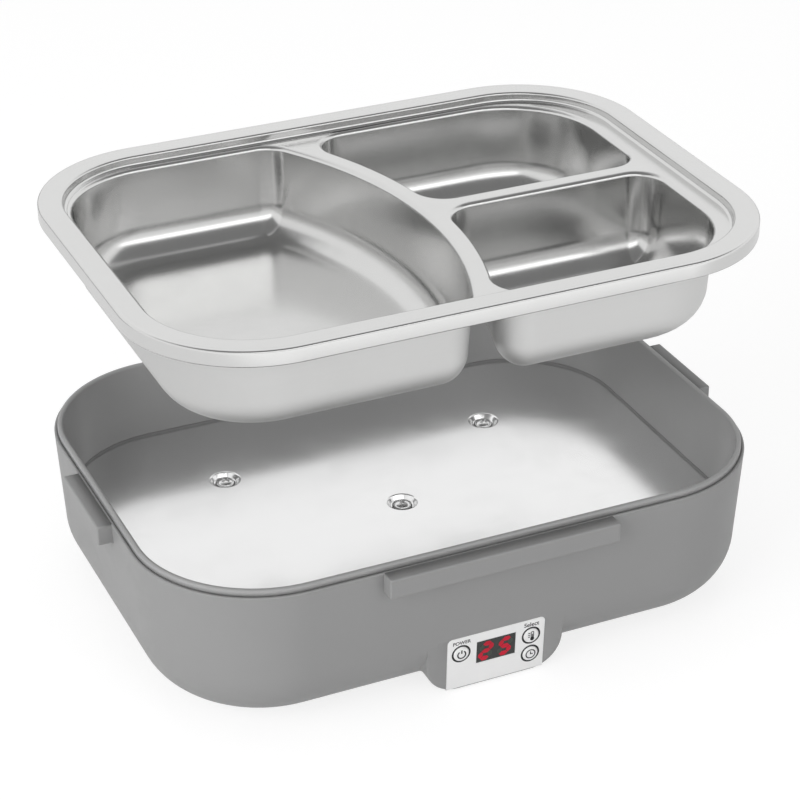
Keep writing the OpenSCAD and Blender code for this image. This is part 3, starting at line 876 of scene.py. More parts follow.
@dataclass
class BaseShell:
    """The outer shell: a swept wall, two pads and four catch bars."""

    base: BaseSizes
    finish: Material
    rounding: float = 0.5  # of the wall's edges at the shoulder and the cover
    pad_width: float = 56.0
    pad_corner: float = 13.0  # radius of its lower corners
    pad_lift: float = 0.4  # height of its lower edge
    pad_depth: float = 19.0  # from its face to its back
    pad_fillet: float = 1.4  # largest radius between a pad and the belly
    pad_edge: float = 0.8  # largest radius round its face
    open_half: float = 24.0  # half of the stretch where the belly opens into a pad
    open_from: float = 5.0  # start of that opening, outside the belly's centre line
    catch_long: float = 92.4  # bars on the long sides
    catch_short: float = 40.6  # bars on the short sides
    catch_out: float = 5.6
    catch_height: float = 8.0
    catch_edge: float = 0.7  # radius of a bar's edges and ends
    catch_root: float = 0.5  # radius under a bar, at the wall

    def build(self) -> None:
        """Makes every piece of the shell."""
        self.wall()
        self.pad(Side.FRONT, "front_pad", (-19.0, -9.4), (19.0, 9.8))
        self.pad(Side.REAR, "rear_pad", (-12.6, -7.9), (12.6, 7.9))
        for k, name in enumerate(("front_catch", "right_catch", "back_catch", "left_catch")):
            out = self.base.core[1 - k % 2] / 2 + self.base.outer(self.base.shoulder)
            self.catch(name, 90 * k, out, self.catch_short if k % 2 else self.catch_long)

    def shell_piece(self, draft: Draft, name: str) -> Object:
        """Makes a piece of the shell from its draft.

        Args:
            draft: The finished draft.
            name: Name of the piece.

        Returns:
            The piece.
        """
        piece = draft.piece(name, "base", "shell_plastic", self.finish)
        even_normals(piece)
        return piece

    def profile(self) -> list[Pair]:
        """The wall's section.

        Returns:
            Distance from the core and height of each point, from the cover's edge round the
            outside and back down the inside.
        """
        b, edge = self.base, self.rounding
        cover = b.belly_out - b.cover_inset
        top = b.outer(b.shoulder)
        middle = (b.belly_out, b.belly_middle)
        return [
            (cover, b.belly_low + edge),
            (cover + edge, b.belly_low),
            *arc(middle, b.belly, -90, 0, 20),
            *arc((top - edge, b.shoulder - edge), edge, 0, 90, 4),
            (top - b.wall, b.shoulder),
            *arc(middle, b.belly - b.wall, 0, -90, 12),
            (cover, b.belly_low + b.wall),
        ]

    def wall(self) -> None:
        """Sweeps the section round the base, open where the pads join."""
        b, slack = self.base, 0.01
        profile = self.profile()
        stations = (self.open_half, -self.open_half)
        back = SHELL_STEPS + 1
        front = 3 * back + len(stations)
        draft = Draft()
        rows = [draft.ring(rounded_ring(b.core, r, z, SHELL_STEPS, stations)) for r, z in profile]
        for k, low in enumerate(rows):
            m = (k + 1) % len(rows)
            reach = min(profile[k][0], profile[m][0])
            level = max(profile[k][1], profile[m][1])
            opens = reach > b.belly_out + self.open_from and level <= b.belly_middle + slack
            draft.bridge(low, rows[m], keep=lambda q, o=opens: not (o and q in (back, front)))
        draft.turn_outward()
        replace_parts(self.shell_piece(draft, "shell_wall"), "outer_shell")

    def pad_outline(self) -> list[tuple[float, float, float, float]]:
        """The edge of a pad's face.

        Returns:
            Place and outward direction of each point, from the top left to the top right.
        """
        half, r, low = self.pad_width / 2, self.pad_corner, self.pad_lift
        top = self.base.belly_middle
        rise, bend = 14, 18
        left = [(-half, top - (top - low - r) * k / rise, -1.0, 0.0) for k in range(rise)]
        for k in range(bend + 1):
            a = math.radians(180 + 90 * k / bend)
            mx, mz = math.cos(a), math.sin(a)
            left.append((-half + r + r * mx, low + r + r * mz, mx, mz))
        return left + [(-x, z, -mx, mz) for x, z, mx, mz in reversed(left)]

    def proud(self, height: float) -> float:
        """How far the pad's face stands out of the belly.

        Args:
            height: The height that is asked about.

        Returns:
            The distance.
        """
        b = self.base
        drop = b.belly_middle - height
        if drop >= b.belly:
            return self.pad_depth
        return b.outer(height) - b.belly_out - math.sqrt(b.belly**2 - drop**2)

    def face_y(self, height: float) -> float:
        """Distance of a pad's face from the middle at a height."""
        return self.base.core[1] / 2 + self.base.outer(height)

    def pad_column(self, x: float, z: float, mx: float, mz: float) -> list[Vector]:
        """The points from a pad's face round its edge and back to the belly.

        Args:
            x: Place along the pad's edge.
            z: Height on the pad's edge.
            mx: Outward direction there, along x.
            mz: Outward direction there, along z.

        Returns:
            The points, for the front side but with y counted outwards.
        """
        b, steps, turns = self.base, 4, 6
        into_belly, onto_back = 0.4, 2
        back_y = self.face_y(self.pad_lift) - self.pad_depth
        axis_y = b.core[1] / 2 + b.belly_out
        stand = max(self.proud(z), 0.0)
        edge = min(self.pad_edge, 0.1 + 0.35 * stand)
        ball = min(self.pad_fillet, 0.15 + 0.6 * stand)
        column = []
        for k in range(steps + 1):
            a = math.radians(90 * k / steps)
            inset = edge * (1 - math.sin(a))
            px, pz = x - mx * inset, z - mz * inset
            column.append(Vector((px, self.face_y(pz) - edge * (1 - math.cos(a)), pz)))
        cz = z + ball * mz
        reach = (b.belly + ball) ** 2 - (b.belly_middle - cz) ** 2
        cy = axis_y + math.sqrt(reach) if reach > 0 else 0.0
        if cy > back_y:
            centre = Vector((x + ball * mx, min(cy, column[-1].y), cz))
            first = Vector((-mx, 0, -mz))
            last = -Vector((0, centre.y - axis_y, cz - b.belly_middle)).normalized()
            column += [centre + first.slerp(last, k / turns) * ball for k in range(turns + 1)]
            return column + [centre + last * (ball + into_belly)]
        start, end = column[-1], Vector((x, back_y, z))
        column += [start.lerp(end, (k + 1) / (turns + 1)) for k in range(turns + 1)]
        return column + [Vector((x - mx * onto_back, back_y, z - mz * onto_back))]

    def pad(self, side: Side, name: str, low: Pair, high: Pair) -> None:
        """Builds one pad with a rounded face edge and a fillet against the belly.

        Args:
            side: The long side that it is on.
            name: Name of the piece.
            low: Lower left corner of the opening in its face.
            high: Upper right corner of that opening.
        """
        draft, panel, slack = Draft(), PadFrame(self.base, side), 0.05
        columns = [
            [Vector((p.x, side.value * p.y, p.z)) for p in self.pad_column(*spot)]
            for spot in self.pad_outline()
        ]
        rows = draft.loft(columns, closed=False)
        corners = [low, (high[0], low[1]), high, (low[0], high[1])]
        hole = draft.ring(panel.row(corners, 0))
        draft.web([row[0] for row in rows], [hole], panel.outward())
        draft.bridge(hole, draft.ring(panel.row(corners, -self.base.wall)))
        back = (self.face_y(self.pad_lift) - self.pad_depth + slack) * MM
        draft.cap([row[-1] for row in rows if abs(row[-1].co.y) < back])
        draft.turn_outward()
        sample = max(draft.mesh.faces, key=lambda f: f.calc_area() if abs(f.normal.y) > 0.9 else 0)
        if sample.normal.y * side.value < 0:
            bmesh.ops.reverse_faces(draft.mesh, faces=draft.mesh.faces)
        self.shell_piece(draft, name)

    def catch(self, name: str, turn: float, out: float, length: float) -> None:
        """Builds one catch bar with a small fillet where it leaves the wall.

        Args:
            name: Name of the piece.
            turn: Degrees from the front side.
            out: Distance of the wall from the middle, at the shoulder.
            length: Length of the bar.
        """
        gap, inside, steps = 0.03, -1.0, 4
        top = self.base.shoulder - gap
        low = self.base.shoulder - self.catch_height
        reach, edge, root = self.catch_out, self.catch_edge, self.catch_root
        section = [
            (inside, top),
            *arc((reach - edge, top - edge), edge, 90, 0, 5),
            *arc((reach - edge, low + edge), edge, 0, -90, 5),
            *arc((root, low - root), root, 90, 180, 4),
            (inside, low - root),
        ]
        turns = [math.radians(90 * k / steps) for k in range(steps + 1)]
        ends = [(length / 2 - edge * (1 - math.sin(a)), edge * (1 - math.cos(a))) for a in turns]
        spin = Matrix.Rotation(math.radians(turn), 4, "Z")
        middle = (top + low) / 2
        rings = []
        for x, shrink in [(-x, shrink) for x, shrink in reversed(ends)] + ends:
            ring = []
            for r, z in section:
                pull = (z - middle) / (top - middle) * shrink
                ring.append(spin @ Vector((x, shrink * (r > 1) - out - r, z - pull)))
            rings.append(ring)
        draft = Draft()
        draft.solid(rings)
        draft.turn_outward()
        self.shell_piece(draft, name)


@dataclass
class Collar:
    """The inner wall of the base with the rounded lip bead."""

    base: BaseSizes
    finish: Material
    chamfer: float = 0.3  # at its lower edge
    rise: float = 0.02  # of its outer step above the shoulder

    def build(self) -> None:
        """Sweeps the collar's closed section round the opening."""
        b, half = self.base, self.base.bead / 2
        low, high = b.inner(b.collar_low), b.inner(b.shoulder)
        section = [
            (low + self.chamfer, b.collar_low),
            (low, b.collar_low + self.chamfer),
            (high, b.shoulder),
            (b.corner, b.lip - half),
            *arc((b.corner + half, b.lip - half), half, 180, 0, 12)[1:],
            (b.corner + b.bead, b.shoulder + self.rise),
            (high + b.collar_wall, b.shoulder + self.rise),
            (low + b.collar_wall, b.collar_low),
        ]
        draft = Draft()
        rows = draft.loft([rounded_ring(b.core, r, z, WELL_STEPS) for r, z in section])
        draft.bridge(rows[-1], rows[0])
        draft.turn_outward()
        piece = draft.piece("inner_wall", "base", "collar_plastic", self.finish)
        even_normals(piece)
        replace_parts(piece, "inner_collar")


# ---- heating pan


@dataclass
class HeatingPan:
    """The steel pan in the bottom of the well, with its dimples and screws."""

    base: BaseSizes
    finish: Material
    screw_finish: Material
    top: float = 31.8  # height of the flat pan
    edge: float = 3.0  # height of its turned-down edge
    bend: float = 0.5  # radius between them
    sheet: float = 0.6  # thickness
    dimple: Pair = (5.75, 4.5)  # upper and lower radius
    dimple_depth: float = 2.2
    dimple_lip: float = 0.7  # width of the soft rim round a dimple
    dimple_root: float = 0.4  # width of the bend at its foot
    screw_hole: float = 1.7  # radius
    head_rise: float = 0.5  # of a screw head above the dimple's floor
    cross_turn: float = 35  # of the screws' crosses, in degrees
    spots: tuple[Pair, ...] = (
        (-57.5, -50.0),
        (57.5, -50.0),
        (0.0, -5.0),
        (-57.5, 40.0),
        (57.5, 40.0),
    )

    def build(self) -> None:
        """Makes the pan and its screws."""
        self.pan()
        self.screws()

    def pan(self) -> None:
        """Builds the pan as one sheet with five dimples."""
        b = self.base
        side = b.inner(self.top) + b.collar_wall
        section = [
            (side, self.top - self.edge + 0.1),
            *arc((side - self.bend, self.top - self.bend), self.bend, 0, 90, 5),
        ]
        draft = Draft()
        rows = draft.loft([rounded_ring(b.core, r, z, WELL_STEPS) for r, z in section])
        draft.web(rows[-1], [self.dimple_rim(draft, spot) for spot in self.spots], UP)
        piece = draft.piece("pan_sheet", "base", "pan_steel", self.finish)
        thicken(piece, self.sheet)
        even_normals(piece)
        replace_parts(piece, "heating_pan")

    def dimple_rim(self, draft: Draft, spot: Pair) -> Row:
        """Adds one dimple.

        Args:
            draft: The pan's draft.
            spot: Place of the dimple.

        Returns:
            The dimple's rim, for the floor to meet.
        """
        (wide, narrow), deep = self.dimple, -self.dimple_depth
        lip, root = self.dimple_lip, self.dimple_root
        section = [
            (wide + lip, 0.0),
            (wide + lip * 0.45, -0.06),
            (wide, -0.3),
            (narrow + root, deep + 0.45),
            (narrow + 0.05, deep + 0.1),
            (narrow - root, deep),
            (self.screw_hole, deep),
        ]
        return draft.loft([lifted(circle(spot, r), self.top + z) for r, z in section])[0]

    def screws(self) -> None:
        """Builds the five domed cross-headed screws as one piece."""
        head = self.top - self.dimple_depth + self.head_rise
        dome = [(0.7, 1.58), (1.6, 1.5), (2.5, 1.28), (3.15, 0.9), (3.45, 0.45), (3.5, 0.1)]
        shank = [(3.4, 0.0), (1.5, 0.0), (1.5, -10.6), (1.1, -11.0)]
        draft = Draft()
        for spot in self.spots:
            draft.solid([lifted(circle(spot, r, 40), head + z) for r, z in dome + shank])
        draft.turn_outward()
        piece = draft.piece("pan_screw_set", "base", "screw_steel", self.screw_finish)
        self.cut_crosses(piece, head)
        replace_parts(piece, "pan_screws")

    def cut_crosses(self, piece: Object, head: float) -> None:
        """Cuts a tapered cross into every screw head.

        Args:
            piece: The screws.
            head: Height of the heads' undersides.
        """
        levels = ((0.7, 0.35, 0.6), (1.9, 0.5, 1.2), (2.3, 0.55, 2.2))
        draft = Draft()
        for x, y in self.spots:
            for turn in (self.cross_turn, self.cross_turn + 90):
                spin = Matrix.Rotation(math.radians(turn), 3, "Z")
                rings = []
                for u, v, z in levels:
                    place = Vector((x, y, head + z))
                    corners = [(-u, -v), (u, -v), (u, v), (-u, v)]
                    rings.append([spin @ corner + place for corner in lifted(corners, 0)])
                rows = draft.loft(rings)
                draft.cap(rows[0][::-1])
                draft.cap(rows[-1])
        draft.turn_outward()
        cutter = linked("cross_cutter", draft.data("cross_cutter"))
        boolean = piece.modifiers.new("crosses", "BOOLEAN")
        boolean.object = cutter
        boolean.operation = "DIFFERENCE"
        boolean.solver = "EXACT"
        boolean.use_self = True
        graph = bpy.context.evaluated_depsgraph_get()
        piece.data = bpy.data.meshes.new_from_object(piece.evaluated_get(graph))
        piece.modifiers.remove(boolean)
        bpy.data.objects.remove(cutter)
        piece.data.shade_smooth()
        piece.data.set_sharp_from_angle(angle=math.radians(SCREW_SHARP))


# ---- control panel


@dataclass
class ControlPanel:
    """Faceplate, display and buttons on the front pad."""

    face: PadFrame
    finishes: dict[str, Material]
    plate: Pair = (40.0, 22.9)  # width and height
    plate_corner: float = 2.0  # radius of its upper corners
    plate_edge: float = 0.18  # size of its softened edges
    plate_back: float = -0.8
    plate_front: float = 0.2  # the window stands out as far
    window: Pair = (15.8, 9.5)  # width and height
    window_rise: float = 2.6  # above the plate's middle
    window_edge: float = 0.12
    window_gap: float = 0.1
    button: float = 3.1  # radius
    hole: float = 3.4  # radius
    button_front: float = 0.7
    type_weight: float = 0.045  # how far the printed type is thickened
    digits: str = "25"

    def spots(self) -> dict[Symbol, tuple[str, str, Pair]]:
        """Where the buttons belong.

        Returns:
            Each button's CAD node, body and place.
        """
        return {
            Symbol.POWER: ("power_button", "power_key", (-14.4, 4.2)),
            Symbol.THERMOMETER: ("temperature_button", "temperature_key", (14.4, 4.2)),
            Symbol.CLOCK: ("timer_button", "timer_key", (14.4, -4.2)),
        }

    def build(self) -> None:
        """Makes every piece of the panel."""
        self.faceplate()
        self.display()
        for symbol, (node, body, spot) in self.spots().items():
            self.cap(symbol, node, body, spot)
        self.word("POWER", (-14.3, 9.1), 2.1)
        self.word("Select", (14.4, 9.2), 2.6)

    def loop(self, grow: float) -> list[Pair]:
        """The faceplate's outline.

        Args:
            grow: How far it is grown.

        Returns:
            Its points.
        """
        half_w, half_h = self.plate[0] / 2 + grow, self.plate[1] / 2 + grow
        r = self.plate_corner + grow
        return [
            (-half_w, -half_h),
            (half_w, -half_h),
            *arc((half_w - r, half_h - r), r, 0, 90, 8),
            *arc((-half_w + r, half_h - r), r, 90, 180, 8),
        ]

    def frame_of_window(self, grow: float) -> list[Pair]:
        """The window's outline.

        Args:
            grow: How far it is grown.

        Returns:
            Its points.
        """
        half_w, half_h = self.window[0] / 2 + grow, self.window[1] / 2 + grow
        low, high = self.window_rise - half_h, self.window_rise + half_h
        return [(-half_w, low), (half_w, low), (half_w, high), (-half_w, high)]

    def faceplate(self) -> None:
        """Builds the plate with soft edges round its outline and its openings."""
        draft, outward = Draft(), self.face.outward()
        front, edge = self.plate_front, self.plate_edge
        levels = (
            (-edge, front),
            (-edge * 0.3, front - edge * 0.3),
            (0.0, front - edge),
            (0.0, self.plate_back),
        )

        def rows_of(outline: Callable[[float], list[Pair]], sign: float) -> list[Row]:
            """Adds the rows of one outline from the face backwards."""
            return draft.loft([self.face.row(outline(sign * grow), d) for grow, d in levels])

        outer = rows_of(self.loop, 1)
        holes = [rows_of(lambda g: self.frame_of_window(self.window_gap + g), -1)]
        for _, _, spot in self.spots().values():
            holes.append(rows_of(lambda g, c=spot: circle(c, self.hole + g), -1))
        draft.web(outer[0], [h[0] for h in holes], outward)
        draft.web(outer[-1], [h[-1] for h in holes], -outward)
        draft.turn_outward()
        key = "faceplate_silver"
        piece = draft.piece("panel_plate", "base", key, self.finishes[key])
        even_normals(piece)
        self.print_rings_and_gap_shade()
        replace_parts(piece, "faceplate")

    def flat(
        self, name: str, body: str, loops: list[list[Pair]], d: float, finish: str, slot: str
    ) -> None:
        """Makes a thin flat shape: print, display segments, or the button rings with their painted
        gap shade.

        Args:
            name: Name of the piece.
            body: Body that it moves with.
            loops: Its faces, as loops of places on the pad.
            d: How far it stands out.
            finish: Its material's key.
            slot: Its record slot.
        """
        draft = Draft()
        for points in loops:
            draft.cap(draft.ring(self.face.row(points, d)))
        draft.face_along(draft.mesh.faces, self.face.outward())
        draft.piece(name, body, slot, self.finishes[finish], smooth=False)

    def print_rings_and_gap_shade(self) -> None:
        """Prints the dark ring round each button's hole; its inner edge reaches over the gap
        between button and hole as painted shade.
        """
        # The ring's inner edge lies inside the hole, over the gap round the button: painted shade
        # there; the rest is print on the plate.
        grow, width = 0.12, 0.66
        loops = []
        for _, _, spot in self.spots().values():
            loops += ribbon(circle(spot, self.hole + grow), width, closed=True)
        stand = self.plate_front + PLATE_PRINT
        self.flat("ring_print_and_gap_shade", "base", loops, stand, "ink", "faceplate_silver")

    def display(self) -> None:
        """Builds the window and the digits."""
        draft, key = Draft(), "window_plastic"
        front, edge = self.plate_front, self.window_edge
        levels = ((-edge, front), (0.0, front - edge), (0.0, self.plate_back))
        draft.solid([self.face.row(self.frame_of_window(grow), d) for grow, d in levels])
        draft.turn_outward()
        piece = draft.piece("panel_window", "base", key, self.finishes[key], smooth=False)
        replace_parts(piece, "display_window")
        lit, unlit = self.segments()
        self.flat("digits_lit", "base", lit, front + 0.03, "lit_segment", key)
        self.flat("digits_unlit", "base", unlit, front + 0.02, "unlit_segment", key)

    def segments(self) -> tuple[list, list]:
        """The display's segments.

        Returns:
            The lit ones and the unlit ones, as loops.
        """
        width, height, stroke, slant, gap = 5.7, 8.4, 1.95, 0.18, 0.08
        pitch, shift = 7.8, -0.3
        w, h, s = width / 2 - stroke / 2, height / 2 - stroke / 2, stroke / 2
        bars = {
            "a": ((-w, h), (w, h)),
            "g": ((-w, 0.0), (w, 0.0)),
            "d": ((-w, -h), (w, -h)),
            "f": ((-w, 0.0), (-w, h)),
            "b": ((w, 0.0), (w, h)),
            "e": ((-w, -h), (-w, 0.0)),
            "c": ((w, -h), (w, 0.0)),
        }
        shown = {"2": "abged", "5": "afgcd"}
        lit, unlit = [], []
        for place, digit in enumerate(self.digits):
            middle = (place - (len(self.digits) - 1) / 2) * pitch + shift
            for key, (start, end) in bars.items():
                ax, ay = (1, 0) if end[0] != start[0] else (0, 1)
                near, far = gap, s + gap
                loop = []
                for (x, y), t, aside in (
                    (start, near, 0),
                    (start, far, s),
                    (end, -far, s),
                    (end, -near, 0),
                    (end, -far, -s),
                    (start, far, -s),
                ):
                    px, py = x + ax * t + ay * aside, y + ay * t - ax * aside
                    loop.append((px + middle + slant * py, py + self.window_rise))
                (lit if key in shown[digit] else unlit).append(loop)
        return lit, unlit

    def cap(self, symbol: Symbol, node: str, body: str, spot: Pair) -> None:
        """Builds one button with its printed symbol; the cap's step and side down in its hole get
        the dark ink as painted shade in the gap.

        Args:
            symbol: What is printed on it.
            node: The CAD node that it replaces.
            body: Body that it moves with.
            spot: Its place on the face.
        """
        draft, key = Draft(), "button_silver"
        front, radius, gap_shade_bands = self.button_front, self.button, (3, 4)
        section = [(1.5, -3.15), (1.5, -2.9), (3.7, -2.9), (3.7, -2.1), (radius, -2.1)]
        section += [(radius, front - 0.55), (3.06, front - 0.36), (2.94, front - 0.17)]
        section += [(2.72, front - 0.04), (2.45, front)]
        rows = draft.loft([self.face.row(circle(spot, r), d) for r, d in section])
        draft.cap(rows[-1])
        draft.cap(rows[0][::-1])
        draft.turn_outward()
        # The cap's step and side down in the hole (bands 3 and 4) get the dark ink: painted shade
        # in the gap round the button.
        for k, face in enumerate(draft.mesh.faces):
            face.material_index = int(k // ROUND_STEPS in gap_shade_bands)
        name, ink = symbol.value, self.finishes["ink"]
        piece = draft.piece(f"{name}_key_cap", body, key, self.finishes[key], ink)
        piece.data.set_sharp_from_angle(angle=math.radians(BUTTON_SHARP))
        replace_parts(piece, node)
        loops = self.symbol(symbol, spot)
        self.flat(f"{name}_print", body, loops, front + BUTTON_PRINT, "ink", key)

    def symbol(self, symbol: Symbol, spot: Pair) -> list[list[Pair]]:
        """The loops of a button's symbol.

        Args:
            symbol: Which symbol.
            spot: The button's place.

        Returns:
            Its faces.
        """
        x, y = spot

        def bar(start: Pair, end: Pair, width: float) -> list[list[Pair]]:
            """A straight stroke between two places seen from the button's middle."""
            return ribbon([(x + start[0], y + start[1]), (x + end[0], y + end[1])], width)

        if symbol is Symbol.POWER:
            loops = ribbon(arc((x, y - 0.15), 1.6, 125, 415, 28), 0.56)
            return loops + bar((0, 0.3), (0, 1.9), 0.56)
        if symbol is Symbol.CLOCK:
            loops = ribbon(circle((x, y), 1.85, 32), 0.48, closed=True)
            return loops + bar((0, -0.2), (0, 1.15), 0.42) + bar((-0.2, 0), (1.0, 0), 0.42)
        loops = [circle((x + 0.3, y - 1.3), 0.85, 20)]
        loops += bar((-0.2, -0.9), (-0.2, 1.5), 0.34) + bar((0.8, -0.9), (0.8, 1.5), 0.34)
        loops += ribbon(arc((x + 0.3, y + 1.5), 0.5, 0, 180, 8), 0.34)
        loops += bar((0.3, -0.9), (0.3, 0.9), 0.44)
        for level in (1.4, 0.55, -0.3):
            loops += bar((-1.5, level), (-0.6, level), 0.4)
        return loops

    def word(self, text: str, spot: Pair, size: float) -> None:
        """Prints a generic word on the faceplate.

        Args:
            text: The word.
            spot: Its middle.
            size: Height of its type in millimetres.
        """
        curve = bpy.data.curves.new("type", "FONT")
        curve.body = text
        curve.size = size
        curve.offset = self.type_weight
        curve.align_x = curve.align_y = "CENTER"
        source = linked("type", curve)
        graph = bpy.context.evaluated_depsgraph_get()
        data = bpy.data.meshes.new_from_object(source.evaluated_get(graph))
        bpy.data.objects.remove(source)
        bpy.data.curves.remove(curve)
        stand = self.plate_front + PLATE_PRINT
        for vert in data.vertices:
            vert.co = self.face.place(spot[0] + vert.co.x, spot[1] + vert.co.y, stand) * MM
        data.materials.clear()
        data.materials.append(self.finishes["ink"])
        data.name = "word_" + text.lower()
        settle(data, "base")


# ---- food tray


@dataclass
class FoodTray:
    """The stamped tray with a large compartment and two small ones."""

    base: BaseSizes
    finish: Material
    back: Material  # of the underside
    rim_over: float = 3.0  # how far the rim stands outside the opening
    rim_height: float = 158.9
    sheet: float = 0.5
    skirt: float = 6.0  # height of the turned-down skirt
    flange: float = 9.5  # width
    step: float = 4.0  # drop from the flange to the web
    depth: float = 35.5  # of a compartment's floor below the web
    draft: float = 3.5  # in degrees
    fillet: float = 13.0  # radius between wall and floor
    mouth: float = 1.9  # radius of the rounded mouths
    arc_radius: float = 156.0  # of the curved wall
    crown: Pair = (9.0, -10.5)  # place of the curved wall's crown
    web: Pair = (8.0, 8.0)  # beside the curved wall, and between the small compartments
    margins: Triple = (3.0, 8.0, 3.0)  # from the step at the left, at the right and at the sides
    corners: Pair = (12.0, 11.0)  # radii of the small corners and at the straight web
    least: float = 1.5  # least radius of a corner as it is drawn in
    corner_steps: int = 12  # chords in a corner of a compartment
    arc_steps: int = 40  # chords in the curved wall
    bends: Triple = (0.9, 1.1, 1.4)  # radii: rolled edge, bend inside it, foot of the step
    bead: float = 0.12  # drop of the shallow groove along the flange

    def __post_init__(self) -> None:
        """Works out the shared places."""
        self.rim_radius = self.base.corner + self.rim_over
        self.web_level = self.rim_height - self.step
        half_l, half_w = (half / 2 + self.rim_radius - self.flange for half in self.base.core)
        self.left = self.margins[0] - half_l
        self.right = half_l - self.margins[1]
        self.side = half_w - self.margins[2]
        self.big_corner = self.rim_radius - self.flange - self.margins[2]
        self.arc_centre = self.crown[0] - self.arc_radius

    def large(self, t: float) -> list[Pair]:
        """Outline of the large compartment.

        Args:
            t: Draw-in.

        Returns:
            Its points, counter-clockwise.
        """
        y, r, n = self.side - t, self.big_corner - t, self.corner_steps
        s, big = max(self.corners[0] - t, self.least), self.arc_radius - t
        x, cx, cy = self.left + t, self.arc_centre, self.crown[1]
        low, high = s - y - cy, y - s - cy
        lx, hx = (math.sqrt((big - s) ** 2 - v**2) for v in (low, high))
        la, ha = bearing(lx, low), bearing(hx, high)
        return [
            *arc((x + r, r - y), r, 180, 270, n),
            *arc((cx + lx, s - y), s, -90, la, n),
            *arc((cx, cy), big, la, ha, self.arc_steps)[1:-1],
            *arc((cx + hx, y - s), s, ha, 90, n),
            *arc((x + r, y - r), r, 90, 180, n),
        ]

    def small(self, sign: int, t: float) -> list[Pair]:
        """Outline of a small compartment.

        Args:
            sign: 1 for the back one, -1 for the front one.
            t: Draw-in.

        Returns:
            Its points, counter-clockwise.
        """
        near, far = self.web[1] / 2 + t, self.side - t
        x, r, n = self.right - t, self.big_corner - t, self.corner_steps
        s, q = (max(corner - t, self.least) for corner in self.corners)
        big, cx, cy = self.arc_radius + self.web[0] + t, self.arc_centre, sign * self.crown[1]
        low, high = near + s - cy, far - s - cy
        nx, fx = (math.sqrt((big + s) ** 2 - v**2) for v in (low, high))
        na, fa = bearing(nx, low), bearing(fx, high)
        points = [
            *arc((cx + nx, near + s), s, 180 + na, 270, n),
            *arc((x - q, near + q), q, 270, 360, n),
            *arc((x - r, far - r), r, 0, 90, n),
            *arc((cx + fx, far - s), s, 90, 180 + fa, n),
            *arc((cx, cy), big, fa, na, self.arc_steps)[1:-1],
        ]
        return points if sign > 0 else [(px, -py) for px, py in reversed(points)]

    def levels(self) -> list[Pair]:
        """The levels of a compartment.

        Returns:
            Draw-in and drop of each, from the web to the floor.
        """
        m, bend, start = self.mouth, self.depth - self.fillet, self.draft
        mouth_steps, wall_steps, floor_steps = 8, 5, 16
        slope = math.tan(math.radians(self.draft))
        levels = []
        for k in range(mouth_steps + 1):
            a = math.radians((90 - self.draft) * k / mouth_steps)
            drop = m * (1 - math.cos(a))
            levels.append((slope * drop - m * (1 - math.sin(a)), drop))
        for k in range(1, wall_steps):
            drop = m + (bend - m) * k / wall_steps
            levels.append((slope * drop, drop))
        for k in range(floor_steps + 1):
            a = math.radians(start + (90 - start) * k / floor_steps)
            drop = self.depth - self.fillet * (1 - math.sin(a))
            levels.append((slope * bend + self.fillet * (1 - math.cos(a)), drop))
        return levels

    def rim(self) -> list[Pair]:
        """The rim's section.

        Returns:
            Distance from the core and height of each point, from the skirt to the web.
        """
        top, rim, web, groove = self.rim_height, self.rim_radius, self.web_level, self.bead
        inner, (roll, bend, root) = rim - self.flange, self.bends
        return [
            (rim - 0.12, top - self.skirt + 0.1),
            (rim, top - self.skirt + 0.5),
            (rim, top - roll - 0.4),
            *arc((rim - roll, top - roll), roll, 0, 90, 7),
            (rim - roll - 0.8, top - groove),
            (rim - roll - 1.3, top - groove),
            (rim - roll - 1.9, top),
            (inner + bend + 0.8, top),
            *arc((inner + bend, top - bend), bend, 90, 180, 6),
            *arc((inner - root, web + root), root, 0, -90, 7),
        ]

    def build(self) -> None:
        """Makes the tray as one sheet."""
        draft = Draft()
        rows = draft.loft([rounded_ring(self.base.core, r, z, TRAY_STEPS) for r, z in self.rim()])
        holes = []
        for outline in (self.large, lambda t: self.small(1, t), lambda t: self.small(-1, t)):
            made = draft.loft([lifted(outline(t), self.web_level - d) for t, d in self.levels()])
            draft.cap(made[-1])
            holes.append(made[0])
        draft.web(rows[-1], holes, UP)
        piece = draft.piece("tray_sheet", "tray", "tray_steel", self.finish, self.back)
        thicken(piece, self.sheet)
        even_normals(piece)
        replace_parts(piece, "food_tray")


# ---- carried CAD nodes


@dataclass
class InsideParts:
    """CAD nodes that keep their shape and get their finish."""

    finishes: dict[str, Material]

    def dress(self) -> None:
        """Gives every CAD node the material of its record slot."""
        for entry in frame["record"]["subparts"]:
            node = frame["nodes"][entry["node"]]
            material = self.finishes[entry["material_slot"]]
            if not node.material_slots:
                node.data.materials.append(material)
            for place in node.material_slots:
                place.material = material
            LOG.info("dressed %s with %s", node.name, material.name)

    def detail(self) -> None:
        """Replaces the visible block-like nodes with softened copies."""
        for node, name, slot, width in (
            ("power_inlet", "inlet_body", "black_plastic", 0.4),
            ("rubber_feet", "foot_set", "foot_rubber", 0.5),
            ("bottom_cover", "cover_plate", "shell_plastic", 0.25),
        ):
            piece = copy_of(node, name, "base", self.finishes[slot])
            soften(piece, width)
            even_normals(piece)


# ---- studio


@dataclass(frozen=True)
class Lamp:
    """One soft area light."""

    name: str
    place: Triple  # in metres
    size: Pair  # width and height in metres
    power: float  # in watts

    def hang(self, aim: Vector) -> None:
        """Hangs the lamp and points it at a place.

        Args:
            aim: The place.
        """
        data = bpy.data.lights.new(self.name, "AREA")
        data.shape = "RECTANGLE"
        data.size, data.size_y = self.size
        data.energy = self.power
        lamp = linked(self.name, data)
        lamp.location = self.place
        lamp.rotation_euler = (aim - Vector(self.place)).to_track_quat("-Z", "Y").to_euler()
        lamp.visible_glossy = False


